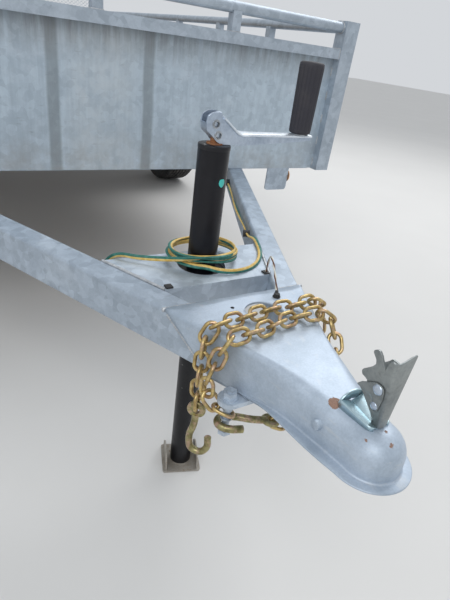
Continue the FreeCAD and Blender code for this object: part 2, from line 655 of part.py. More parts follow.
def jack_crank():
    """Folded crank: a shaft, two cheeks with a web along the arm, two rivets and the grip's stud."""
    base = JACK_TOP
    side = [(-26, base + 10, 9), (-26, base + 53, 20), (12, base + 53, 6), (47, base + 23, 10),
            (206, base + 21, 5), (206, base + 10, 5), (120, base + 7, 60), (62, base + 6, 20),
            (20, base + 3, 20)]
    half, sheet = 12.0, 3.0
    cheeks = [plate(side, "XZ", (JACK_Y - half, JACK_Y - half + sheet)),
              plate(side, "XZ", (JACK_Y + half - sheet, JACK_Y + half))]
    arm = plate(side, "XZ", (JACK_Y - half, JACK_Y + half))
    slot = box((-40, 44), (JACK_Y - half, JACK_Y + half), (base, base + 60))
    hollow = box((0, 203), (JACK_Y - half, JACK_Y + half), (base - 10, base + 18))
    web = arm.cut(slot).cut(hollow)
    shaft = rod((0, JACK_Y, base), (0, JACK_Y, base + 40), 8.0)
    rivets = [rod((x, JACK_Y - half - 3, z), (x, JACK_Y + half + 3, z), 5.0)
              for x, z in ((-8, base + 34), (-3, base + 18))]
    stud = rod((183, JACK_Y, base + 12), (183, JACK_Y, base + 24), 6.0)
    return [joined(cheeks + [web, shaft, stud] + rivets)]


def jack_grip():
    """Upright grip with lengthwise ribs at the crank's end."""
    low, high = JACK_TOP + 22.5, JACK_TOP + 146
    core = turned([(6.5, low), (20.5, low, 3), (22.5, high, 5), (0, high), (0, high - 10), (6.5, high - 10)],
                  (183, JACK_Y, 0))
    return [core]


def side_rails():
    """Lengthwise tubes of the bed frame, between the corner posts."""
    return both_sides([box_tube(RAIL_X, (POST_Y[0][1], POST_Y[1][0]), (BED_BOTTOM, BED_BOTTOM + RAIL_HEIGHT),
                                POST_WALL, 1)])


def crossmembers():
    """Channels across the bed, open to the rear, with the front one closed by the sheet."""
    bars = []
    for y in CROSS_Y:
        z = (BED_BOTTOM, CROSS_TOP)
        bar = box((-RAIL_X[0], RAIL_X[0]), (y, y + CROSS_WIDTH), z)
        hollow = box((-RAIL_X[0], RAIL_X[0]), (y + CROSS_WALL, y + CROSS_WIDTH),
                     (z[0] + CROSS_WALL, z[1] - CROSS_WALL))
        bars.append(bar.cut(hollow))
    return bars


def deck_boards():
    """Lengthwise planks on the crossmembers, with narrow gaps."""
    span = 2 * RAIL_X[0] - (BOARD_COUNT + 1) * BOARD_GAP
    width = span / BOARD_COUNT
    boards = []
    for i in range(BOARD_COUNT):
        left = -RAIL_X[0] + BOARD_GAP + i * (width + BOARD_GAP)
        boards.append(box((left, left + width), (INSIDE_FRONT + 1, POST_Y[1][0] - 1), (CROSS_TOP, DECK_TOP)))
    return boards


def front_wall():
    """Sheet between the front corner posts, under the chord."""
    return [box((-POST_IN, POST_IN), (SHEET_FRONT, INSIDE_FRONT), (BED_BOTTOM + HEM, CHORD_Z[0]))]


def side_wall(side):
    """Sheet between the corner posts of one side, under the chord."""
    x = (SHEET_X - SHEET, SHEET_X) if side > 0 else (-SHEET_X, SHEET - SHEET_X)
    return [box(x, (POST_Y[0][1], POST_Y[1][0]), (BED_BOTTOM + HEM, CHORD_Z[0]))]


def corner_posts():
    """Four box-tube posts with closed tops."""
    return both_sides([box_tube((POST_IN, HALF_WIDTH), y, (BED_BOTTOM, POST_TOP), POST_WALL, 2,
                                (0.0, POST_WALL)) for y in POST_Y])


def side_stakes():
    """Stakes that stiffen the outside of the side sheets."""
    return both_sides([box_tube((SHEET_X, HALF_WIDTH), (y - STAKE_WIDTH / 2, y + STAKE_WIDTH / 2),
                                (BED_BOTTOM + HEM, CHORD_Z[0]), CHORD_WALL, 2) for y in STAKE_Y])


def top_chords():
    """Box tubes on the top edges of the three sheets."""
    front = box_tube((-POST_IN, POST_IN), (BED_FRONT + CHORD_SETBACK, BED_FRONT + POST_DEPTH), CHORD_Z,
                     CHORD_WALL, 0)
    side = box_tube((HALF_WIDTH - POST_DEPTH, HALF_WIDTH), (POST_Y[0][1], POST_Y[1][0]), CHORD_Z, CHORD_WALL, 1)
    return [front] + both_sides([side])


def pipe_rails():
    """Round rails above the chords, between the corner posts."""
    front = rod((-POST_IN, FRONT_PIPE_Y, PIPE_Z), (POST_IN, FRONT_PIPE_Y, PIPE_Z), PIPE_RADIUS,
                PIPE_RADIUS - PIPE_WALL)
    side = rod((SIDE_PIPE_X, POST_Y[0][1], PIPE_Z), (SIDE_PIPE_X, POST_Y[1][0], PIPE_Z), PIPE_RADIUS,
               PIPE_RADIUS - PIPE_WALL)
    return [front] + both_sides([side])


def rail_uprights():
    """Short posts that carry the round rails on the chords."""
    z = (CHORD_Z[1], PIPE_Z - PIPE_RADIUS / 2)
    half = UPRIGHT / 2
    reach = HALF_WIDTH
    front_pipe = rod((-reach, FRONT_PIPE_Y, PIPE_Z), (reach, FRONT_PIPE_Y, PIPE_Z), PIPE_RADIUS + SEAT)
    side_pipe = rod((SIDE_PIPE_X, BED_FRONT, PIPE_Z), (SIDE_PIPE_X, BED_REAR, PIPE_Z), PIPE_RADIUS + SEAT)
    front = [box((x - half, x + half), (FRONT_PIPE_Y - half, FRONT_PIPE_Y + half), z).cut(front_pipe)
             for x in UPRIGHT_X]
    sides = [box((SIDE_PIPE_X - half, SIDE_PIPE_X + half), (y - half, y + half), z).cut(side_pipe)
             for y in SIDE_UPRIGHT_Y]
    return front + both_sides(sides)


def rear_sill():
    """Cross tube at the rear of the deck, with the lugs and pins of the gate's hinges."""
    sill = box_tube((-POST_IN, POST_IN), POST_Y[1], (BED_BOTTOM, DECK_TOP), POST_WALL, 0)
    lugs = []
    low = HINGE_Z - LUG_RADIUS
    corners = [(BED_REAR, BED_BOTTOM), (BED_REAR, HINGE_Z + 4), (HINGE_Y - LUG_RADIUS, HINGE_Z + 4),
               (HINGE_Y - LUG_RADIUS, HINGE_Z + LUG_RADIUS, 8.0), (HINGE_Y + LUG_RADIUS, HINGE_Z + LUG_RADIUS, 8.0),
               (HINGE_Y + LUG_RADIUS, low, 11.0)]
    for x in HINGE_X:
        for side in (-1, 1):
            face = x + side * (BARREL_HALF + LUG_GAP)
            lugs.append(plate(corners, "YZ", (min(face, face + side * LUG), max(face, face + side * LUG))))
        reach = BARREL_HALF + LUG_GAP + LUG + 3
        lugs.append(rod((x - reach, HINGE_Y, HINGE_Z), (x + reach, HINGE_Y, HINGE_Z), PIN_RADIUS))
    return [joined([sill] + lugs)]


def gate_frame():
    """Ramp gate frame of box tube: a border, three upright bars and the hinges' barrels."""
    x = (-GATE_HALF, GATE_HALF)
    y = (GATE_FRONT, GATE_REAR)
    z = (GATE_BOTTOM, GATE_BOTTOM + GATE_HEIGHT)
    inner_x = (x[0] + GATE_TUBE, x[1] - GATE_TUBE)
    inner_z = (z[0] + GATE_TUBE, z[1] - GATE_TUBE)
    bars = [box_tube(x, y, (z[0], inner_z[0]), GATE_WALL, 0, (GATE_WALL, GATE_WALL)),
            box_tube(x, y, (inner_z[1], z[1]), GATE_WALL, 0, (GATE_WALL, GATE_WALL))]
    pitch = (inner_x[1] - inner_x[0]) / 4
    for left in (x[0], -pitch - GATE_TUBE / 2, -GATE_TUBE / 2, pitch - GATE_TUBE / 2, inner_x[1]):
        bars.append(box_tube((left, left + GATE_TUBE), y, inner_z, GATE_WALL, 2))
    for hinge in HINGE_X:
        ends = (hinge - BARREL_HALF, hinge + BARREL_HALF)
        bars.append(rod((ends[0], HINGE_Y, HINGE_Z), (ends[1], HINGE_Y, HINGE_Z), BARREL_RADIUS)
                    .fuse(box(ends, (GATE_REAR - 12, HINGE_Y + 4), (HINGE_Z + 6, GATE_BOTTOM)))
                    .fuse(box(ends, (GATE_REAR, HINGE_Y + 4), (HINGE_Z + 6, GATE_BOTTOM + 18)))
                    .cut(rod((ends[0] - 1, HINGE_Y, HINGE_Z), (ends[1] + 1, HINGE_Y, HINGE_Z),
                             PIN_RADIUS + PIN_GAP)))
    return [joined(bars)]


def gate_mesh():
    """Diamond mesh as two layers of slanting strands, each inside a flat border."""
    border = GATE_TUBE / 2
    x = (-GATE_HALF + 2, GATE_HALF - 2)
    z = (GATE_BOTTOM + 2, GATE_BOTTOM + GATE_HEIGHT - 2)
    inner_x = (x[0] + border, x[1] - border)
    inner_z = (z[0] + border, z[1] - border)
    rise = inner_z[1] - inner_z[0]
    lean = rise * 0.55
    half = MESH_STRAND / 2 * math.hypot(1, 0.55)
    layers = []
    for side, front in ((1, MESH_FRONT), (-1, MESH_FRONT + MESH + MESH_GAP)):
        y = (front, front + MESH)
        window = box(inner_x, y, inner_z)
        strands = []
        count = int((inner_x[1] - inner_x[0] + lean) / MESH_PITCH)
        for i in range(count + 1):
            foot = inner_x[0] - lean + (i + 0.5) * MESH_PITCH
            corners = [(side * (foot - half), inner_z[0]), (side * (foot + half), inner_z[0]),
                       (side * (foot + lean + half), inner_z[1]), (side * (foot + lean - half), inner_z[1])]
            strands.append(plate(corners, "XZ", y))
        hole = window.cut(Part.makeCompound(strands))
        layers.append(box(x, y, z).cut(hole))
    return layers


def tyre(side):
    """Plain tyre, its bead between the rim's flanges."""
    half = [(BEAD_RADIUS, 0), (BEAD_RADIUS, 75.5), (208, 75.5), (222, 90), (262, TYRE_HALF), (300, 101),
            (328, 90), (341, 76), (TYRE_RADIUS, 52)]
    profile = half[1:] + [(r, -w) for r, w in reversed(half[1:])]
    return [turned(profile, (side * WHEEL_X, AXLE_Y, AXLE_Z), "X")]


def rim(side):
    """Pressed steel rim: a barrel with flanges and a dished disc with round windows and bolt holes."""
    seat, flange = BEAD_RADIUS - SEAT, 206.0
    barrel = turned([(seat, -75.8), (flange, -75.8), (flange, -80), (seat - 5, -80), (seat - 5, -37),
                     (seat - 22, -27), (seat - 22, 26), (seat - 5, 40), (seat - 5, 80), (flange, 80),
                     (flange, 75.8), (seat, 75.8), (seat, 38), (seat - 17, 24), (seat - 17, -24), (seat, -34)])
    disc = turned([(34, 0), (78, 0), (104, 16), (128, 16), (seat - 24, 4), (seat - 20, 4), (seat - 20, 9),
                   (130, 21), (102, 21), (76, 5), (34, 5)])
    holes = []
    for i in range(8):
        angle = 2 * math.pi * i / 8
        x, y = 138 * math.cos(angle), 138 * math.sin(angle)
        holes.append(rod((x, y, -5), (x, y, 30), 15.0))
    for i in range(5):
        angle = 2 * math.pi * (i + 0.25) / 5
        x, y = 57.15 * math.cos(angle), 57.15 * math.sin(angle)
        holes.append(rod((x, y, -1), (x, y, 6), 7.5))
    shape = joined([barrel, disc.cut(Part.makeCompound(holes))])
    shape.rotate(V(0, 0, 0), V(0, 1, 0), side * 90)
    shape.translate(V(side * WHEEL_X, AXLE_Y, AXLE_Z))
    return [shape]


def hub(side):
    """Hub with its flange, grease cap and five wheel nuts on studs, bored for the spindle."""
    body = turned([(0, -HUB_DEPTH), (36, -HUB_DEPTH, 3), (40, -10), (70, -10), (70, 0), (33, 0), (30, 38, 12),
                   (0, 38)])
    body = body.cut(rod((0, 0, -HUB_DEPTH - 1), (0, 0, -12), SPINDLE_RADIUS + SPINDLE_GAP))
    pieces = [body]
    for i in range(5):
        angle = 2 * math.pi * (i + 0.25) / 5
        x, y = 57.15 * math.cos(angle), 57.15 * math.sin(angle)
        pieces += [rod((x, y, -5), (x, y, 26), 6.0), hexagon((x, y, 5.2), 19.0, 14.0)]
    shape = joined(pieces)
    shape.rotate(V(0, 0, 0), V(0, 1, 0), side * 90)
    shape.translate(V(side * WHEEL_X, AXLE_Y, AXLE_Z))
    return [shape]


def axle_beam():
    """Square axle tube with its spring seats and a spindle at each end."""
    half = BEAM / 2
    beam = box((-BEAM_END, BEAM_END), (AXLE_Y - half, AXLE_Y + half), (AXLE_Z - half, AXLE_Z + half))
    pieces = [beam]
    for side in (-1, 1):
        pieces += [rod((side * (BEAM_END - 5), AXLE_Y, AXLE_Z), (side * (BEAM_END + 35), AXLE_Y, AXLE_Z), 30.0),
                   rod((side * BEAM_END, AXLE_Y, AXLE_Z), (side * (WHEEL_X - 18), AXLE_Y, AXLE_Z), SPINDLE_RADIUS),
                   box((side * SPRING_X - 23, side * SPRING_X + 23), (AXLE_Y - 50, AXLE_Y + 50),
                       (AXLE_Z + half, AXLE_Z + half + SPRING_SEAT))]
    return [joined(pieces)]


def sector(inner, outer, start, end, centre, x):
    """Part of a ring in the YZ plane between two angles from straight down, thick along x."""
    def at(radius, angle):
        return V(x[0], centre[0] + radius * math.sin(angle), centre[1] - radius * math.cos(angle))
    middle = (start + end) / 2
    edges = [Part.Arc(at(outer, start), at(outer, middle), at(outer, end)).toShape(),
             Part.LineSegment(at(outer, end), at(inner, end)).toShape(),
             Part.Arc(at(inner, end), at(inner, middle), at(inner, start)).toShape(),
             Part.LineSegment(at(inner, start), at(outer, start)).toShape()]
    return Part.Face(Part.Wire(edges)).extrude(V(x[1] - x[0], 0, 0))


def leaf_springs():
    """Five-leaf springs with an eye at each end."""
    x = (SPRING_X - LEAF_WIDTH / 2, SPRING_X + LEAF_WIDTH / 2)
    leaves = []
    for i in range(LEAF_COUNT):
        angle = EYE_ANGLE * (1 - 0.19 * i)
        leaves.append(sector(SPRING_R + i * LEAF, SPRING_R + (i + 1) * LEAF, -angle, angle, (AXLE_Y, SPRING_C), x))
    eyes = [rod((x[0], AXLE_Y + side * EYE_DY, EYE_Z), (x[1], AXLE_Y + side * EYE_DY, EYE_Z), EYE_RADIUS)
            for side in (-1, 1)]
    spring = joined(leaves + eyes)
    for side in (-1, 1):
        spring = spring.cut(rod((x[0] - 1, AXLE_Y + side * EYE_DY, EYE_Z),
                                (x[1] + 1, AXLE_Y + side * EYE_DY, EYE_Z), EYE_BORE + SEAT))
    return both_sides([spring])


def spring_hangers():
    """Front hangers, and rear hangers with their shackles, each with its pins."""
    hangers = []
    gap, sheet = LEAF_WIDTH / 2 + 1, 6.0
    front_y = AXLE_Y - EYE_DY
    ear = [(front_y - 32, BED_BOTTOM), (front_y + 32, BED_BOTTOM), (front_y + 18, EYE_Z - 18, 12),
           (front_y - 18, EYE_Z - 18, 12)]
    pieces = [plate(ear, "YZ", (SPRING_X + low, SPRING_X + low + sheet)) for low in (-gap - sheet, gap)]
    pieces += [rod((SPRING_X - gap - 14, front_y, EYE_Z), (SPRING_X + gap + 14, front_y, EYE_Z), EYE_BORE),
               box((SPRING_X - gap - sheet, SPRING_X + gap + sheet), (front_y - 32, front_y + 32),
                   (BED_BOTTOM - sheet, BED_BOTTOM))]
    hangers.append(joined(pieces))
    rear_y = AXLE_Y + EYE_DY
    pivot = (rear_y + 14, BED_BOTTOM - 20)
    ear = [(pivot[0] - 24, BED_BOTTOM), (pivot[0] + 24, BED_BOTTOM), (pivot[0] + 12, pivot[1] - 12, 8),
           (pivot[0] - 12, pivot[1] - 12, 8)]
    pieces = [plate(ear, "YZ", (SPRING_X + low, SPRING_X + low + sheet)) for low in (-gap - 2 * sheet, gap + sheet)]
    link = [(pivot[0] - 11, pivot[1] + 12, 8), (pivot[0] + 13, pivot[1] + 12, 8), (rear_y + 13, EYE_Z - 13, 8),
            (rear_y - 13, EYE_Z - 13, 8)]
    pieces += [plate(link, "YZ", (SPRING_X + low, SPRING_X + low + sheet)) for low in (-gap - sheet, gap)]
    pieces.append(box((SPRING_X - gap - 2 * sheet, SPRING_X + gap + 2 * sheet), (pivot[0] - 24, pivot[0] + 24),
                      (BED_BOTTOM - 4, BED_BOTTOM)))
    reach = gap + 2 * sheet + 3
    pieces += [rod((SPRING_X - reach, pivot[0], pivot[1]), (SPRING_X + reach, pivot[0], pivot[1]), EYE_BORE),
               rod((SPRING_X - reach, rear_y, EYE_Z), (SPRING_X + reach, rear_y, EYE_Z), EYE_BORE)]
    hangers.append(joined(pieces))
    return both_sides(hangers)


def axle_clamps():
    """Square-bent bolts round the beam with a plate on top of each spring."""
    half = BEAM / 2
    wire, bend, clear = 6.0, 8.0, 0.9
    top = SPRING_C - math.sqrt(SPRING_R ** 2 - 48.0 ** 2) + SEAT
    pieces = [box((SPRING_X - 42, SPRING_X + 42), (AXLE_Y - 48, AXLE_Y + 48), (top, top + 8))]
    leg = half + wire + clear
    for x in (SPRING_X - LEAF_WIDTH / 2 - wire - 2, SPRING_X + LEAF_WIDTH / 2 + wire + 2):
        path = [(x, AXLE_Y - leg, top + 24), (x, AXLE_Y - leg, AXLE_Z - leg), (x, AXLE_Y + leg, AXLE_Z - leg),
                (x, AXLE_Y + leg, top + 24)]
        line, radii = route_wire(path, bend=bend)
        ring = Part.Circle(V(*path[0]), V(0, 0, -1), wire)
        pieces.append(line.makePipeShell([Part.Wire([ring.toShape()])], True, False))
        pieces += [hexagon((x, AXLE_Y + side * leg, top + 8), 19.0, 10.0) for side in (-1, 1)]
    return both_sides([joined(pieces)])


def fender(side):
    """Rolled sheet fender with an outer skirt, and the stays that hold its ends."""
    quarter = math.pi / 2
    centre = (AXLE_Y, FENDER_Z)
    outer = FENDER_RADIUS + FENDER_SHEET
    crown = sector(FENDER_RADIUS, outer, quarter, 3 * quarter, centre, (SHEET_X, FENDER_OUT))
    skirt = sector(outer - FENDER_SKIRT, outer, quarter, 3 * quarter, centre,
                   (FENDER_OUT - FENDER_SHEET, FENDER_OUT))
    pieces = [crown, skirt]
    for end in (-1, 1):
        face = AXLE_Y + end * FENDER_RADIUS
        y = (min(face, face - end * 5), max(face, face - end * 5))
        pieces.append(box((RAIL_X[0], FENDER_OUT - 30), y, (FENDER_Z, FENDER_Z + 45)))
        pieces.append(box((RAIL_X[0], RAIL_X[0] + 40), y, (FENDER_Z, BED_BOTTOM)))
    shape = joined(pieces)
    return [shape if side > 0 else shape.mirror(V(0, 0, 0), V(1, 0, 0))]


def lamp_brackets():
    """Plates under the front corners, and boxes under the rear ones, that carry the lamps."""
    y, sheet = INSIDE_FRONT, 5.0
    front = joined([plate([(LAMP_X[0], BED_BOTTOM), (LAMP_X[1], BED_BOTTOM), (LAMP_X[1], LAMP_LOW, 12),
                           (LAMP_X[0], LAMP_LOW, 12)], "XZ", (y, y + sheet)),
                    plate([(y, BED_BOTTOM), (y + 50, BED_BOTTOM), (y + 50, LAMP_LOW + 12, 10), (y, LAMP_LOW + 12)],
                          "YZ", (LAMP_X[1] - sheet, LAMP_X[1]))])
    rear = box_tube((POST_IN - TAIL_BOX[0], POST_IN), POST_Y[1], (BED_BOTTOM - TAIL_BOX[1], BED_BOTTOM), 3.0, 2)
    face = BED_REAR - 8
    bar = [box((-NUMBER_HALF, NUMBER_HALF), (face, face + 3), (BED_BOTTOM - NUMBER_DROP[0], BED_BOTTOM - NUMBER_DROP[1]))]
    near, far = NUMBER_TAB
    bar += [box(x, (face - 3, face), (BED_BOTTOM - far, BED_BOTTOM)) for x in ((-far, -near), (near, far))]
    return both_sides([front, rear]) + [joined(bar)]


def tail_lamps():
    """Round red lamps on the rear faces of the boxes, and three small ones on the sill."""
    centre = (POST_IN - TAIL_BOX[0] / 2, BED_REAR, BED_BOTTOM - TAIL_DROP)
    r = TAIL_RADIUS
    lamp = turned([(0, 0), (r, 0), (r, 8, 2), (r - 5, 8), (r - 7, 14, 4), (0, 16)], centre, "Y")
    half, thick = SMALL_LAMP
    small = [box((x - half, x + half), (BED_REAR, BED_REAR + thick), (BED_BOTTOM + 3, BED_BOTTOM + 22))
             for x in (-SMALL_PITCH, 0.0, SMALL_PITCH)]
    return both_sides([lamp]) + small


def marker_lamps():
    """Amber lamps on the front brackets, and red ones on the rear boxes, facing outwards."""
    r = MARKER_RADIUS
    profile = [(0, 0), (r, 0), (r, 6, 2), (r - 4, 14, 6), (0, 15)]
    front = turned(profile, (LAMP_X[1], INSIDE_FRONT + 25, LAMP_Z), "X")
    rear = turned(profile, (POST_IN, BED_REAR - 25, BED_BOTTOM - TAIL_DROP), "X")
    return both_sides([front, rear])


# Route of the lead from its grommet in the tongue tube to the coil round the jack
LEAD_IN = (
    (451, 1090, 509), (440, 1064, 510), (416, 1012, 510), (384, 942, 508), (352, 875, 508), (320, 808, 510),
    (294, 753, 513), (269, 700, 516), (249, 656, 519), (225, 607, 522), (208, 572, 530), (194, 542, 542),
    (180, 512, 552), (168, 484, 554), (155, 454, 552), (134, 422, 551.5), (107, 395, 551.5), (75, 378, 551.5),
    (38, 374, 552), (6, 382, 554))
CLIP = LEAD_IN[9]
# Route from the coil to the plug, over the plate's rear edge at the left
LEAD_OUT = (
    (-20, 397, 577), (-48, 411, 572), (-73, 437, 563), (-98, 461, 557), (-122, 477, 555.5),
    (-144.6, 496.6, 556), (-159.6, 511.6, 543.7), (-168.2, 520.2, 522.3), (-168.2, 520.2, 488))


def harness_lead():
    """The two stretches of the lead that are not coiled."""
    return [cord_tube("lead_in", LEAD_IN, LEAD_RADIUS), cord_tube("lead_out", LEAD_OUT, LEAD_RADIUS)]


def harness_coil():
    """Outer shape of the turns that lie round the jack."""
    x, y = COIL_CENTRE
    disc = rod((x, y, COIL_Z[0]), (x, y, COIL_Z[1]), COIL_RADIUS)
    return [disc.cut(rod((0, JACK_Y, BED_BOTTOM), (0, JACK_Y, COIL_Z[1] + 1), HOUSING_RADIUS + COIL_GAP))]


def harness_plug():
    """Flat four-way plug that hangs at the lead's end."""
    x, y, z = LEAD_OUT[-1]
    return [joined([box((x - 16, x + 16), (y - 5, y + 5), (z - 30, z)),
                    box((x - 13, x + 6), (y - 4, y + 4), (z - 42, z - 30))])]


GROUND_ROUTE = ((108, 362, 548.4), (109, 361, 570), (103, 351, 587), (92, 332, 594), (80, 308, 590), (72, 287, 574),
                (68, 273, 558))


def ground_wire():
    """Short wire that loops from the grommet to its terminal on the coupler."""
    return [cord_tube("ground", GROUND_ROUTE, GROUND_RADIUS)]


def grommets():
    """Rubber grommets, the lead's clip, and the ground wire's terminal with its screw."""
    half = GROMMET_HALF
    pieces = [box((x - half, x + half), (y - half, y + half), (BED_BOTTOM, BED_BOTTOM + GROMMET_THICK))
              for x, y in ((GROUND_ROUTE[0][0], GROUND_ROUTE[0][1]), (-102.0, 362.0))]
    x, y, z = LEAD_IN[0]
    normal = V(-math.cos(HALF_ANGLE), math.sin(HALF_ANGLE), 0)
    foot = V(tongue_side(y, TUBE_WIDTH), y, z)
    pieces.append(Part.makeCylinder(9.0, 9.0, foot, normal))
    x, y, z = CLIP
    foot = V(tongue_side(y, TUBE_WIDTH), y, z)
    pieces.append(Part.makeCylinder(9.0, 15.0, foot, normal))
    x, y, z = GROUND_ROUTE[-1]
    u, v = SCREW
    pieces.append(joined([rod((u, v, COUPLER_TOP), (u, v, COUPLER_TOP + 2), 7.0),
                          hexagon((u, v, COUPLER_TOP + 2), 10.0, 5.0),
                          rod((x, y, z), (u + 1, v + 1, COUPLER_TOP + 3.5), 3.0)]))
    return pieces


NODES = {
    "tongue_tubes": tongue_tubes, "jack_plate": jack_plate, "coupler_body": coupler_body,
    "coupler_latch": coupler_latch, "chain_ears": chain_ears, "safety_chain_left": safety_chain_left,
    "safety_chain_right": safety_chain_right, "chain_hooks": chain_hooks, "jack_housing": jack_housing,
    "jack_crank": jack_crank, "jack_grip": jack_grip, "jack_leg_tube": jack_leg_tube, "jack_foot": jack_foot,
    "side_rails": side_rails, "crossmembers": crossmembers, "deck_boards": deck_boards, "front_wall": front_wall,
    "right_wall": lambda: side_wall(1), "left_wall": lambda: side_wall(-1), "corner_posts": corner_posts,
    "side_stakes": side_stakes, "top_chords": top_chords, "pipe_rails": pipe_rails,
    "rail_uprights": rail_uprights, "rear_sill": rear_sill, "gate_frame": gate_frame, "gate_mesh": gate_mesh,
    "axle_beam": axle_beam, "leaf_springs": leaf_springs, "spring_hangers": spring_hangers,
    "axle_clamps": axle_clamps, "fender_right": lambda: fender(1), "fender_left": lambda: fender(-1),
    "lamp_brackets": lamp_brackets, "tail_lamps": tail_lamps, "marker_lamps": marker_lamps,
    "harness_lead": harness_lead, "harness_coil": harness_coil, "harness_plug": harness_plug,
    "ground_wire": ground_wire, "grommets": grommets}
for name, side in (("right", 1), ("left", -1)):
    NODES["tyre_" + name] = lambda side=side: tyre(side)
    NODES["rim_" + name] = lambda side=side: rim(side)
    NODES["hub_" + name] = lambda side=side: hub(side)

os.makedirs("parts", exist_ok=True)
for name, make in NODES.items():
    shape = Part.makeCompound(make())
    shape.translate(V(0, Y_SHIFT, 0))
    if not shape.isValid():
        print("not valid:", name)
    shape.exportStep("parts/" + name + ".step")
print("y shift", round(Y_SHIFT, 3), "gate hinge", round(HINGE_Y + Y_SHIFT, 3), HINGE_Z)
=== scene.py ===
"""A galvanised single-axle utility trailer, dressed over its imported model.

New pieces are worked out in millimetres: X to the right seen from the front, Y rearwards from the
point where the tongue's sides would meet, Z up from the ground.
"""
import math

import bmesh
import bpy
import numpy as np
from mathutils import Matrix


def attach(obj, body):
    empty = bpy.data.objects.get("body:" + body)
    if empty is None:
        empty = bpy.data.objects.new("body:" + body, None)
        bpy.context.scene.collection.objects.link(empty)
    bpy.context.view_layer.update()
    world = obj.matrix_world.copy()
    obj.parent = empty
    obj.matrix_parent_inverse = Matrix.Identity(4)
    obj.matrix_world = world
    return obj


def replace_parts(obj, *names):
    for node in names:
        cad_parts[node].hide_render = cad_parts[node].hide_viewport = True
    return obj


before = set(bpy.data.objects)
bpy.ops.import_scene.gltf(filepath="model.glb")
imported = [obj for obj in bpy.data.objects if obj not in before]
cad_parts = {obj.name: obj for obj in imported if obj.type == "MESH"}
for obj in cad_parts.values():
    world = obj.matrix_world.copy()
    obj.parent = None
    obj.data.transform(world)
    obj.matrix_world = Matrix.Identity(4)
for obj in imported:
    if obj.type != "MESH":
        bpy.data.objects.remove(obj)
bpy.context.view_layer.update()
APEX = np.array([0.0, -2078.95, 0.0])
TURN = 2 * math.pi
UP = np.array([0.0, 0.0, 1.0])
JACK_Y = 432.4  # the jack's axis, at X = 0
AXLE_Y, AXLE_Z = 2948, 344.5
GRIP_X = 183
PIPE_Y, PIPE_Z = 1122.5, 1033  # the front pipe rail's middle
CHORD_TOP = 968.4


def metres(points):
    """Points in millimetres from the tongue's apex, moved into the model's frame in metres."""
    return (np.asarray(points, float) + APEX) / 1000


def unit(vectors):
    """The same directions, one long."""
    return vectors / np.linalg.norm(vectors, axis=-1, keepdims=True)


def wave(start, stop, count, closed=False):
    """Even steps from start to stop; closed leaves out the last one, where a ring meets its start."""
    return np.linspace(start, stop, count, endpoint=not closed)


def join(*parts):
    """Coordinates spread to one shape and put together along a new last axis."""
    return np.stack(np.broadcast_arrays(*parts), -1)


def lengths(path):
    """How far along a path each of its points lies."""
    return np.r_[0, np.cumsum(np.linalg.norm(np.diff(path, axis=0), axis=1))]


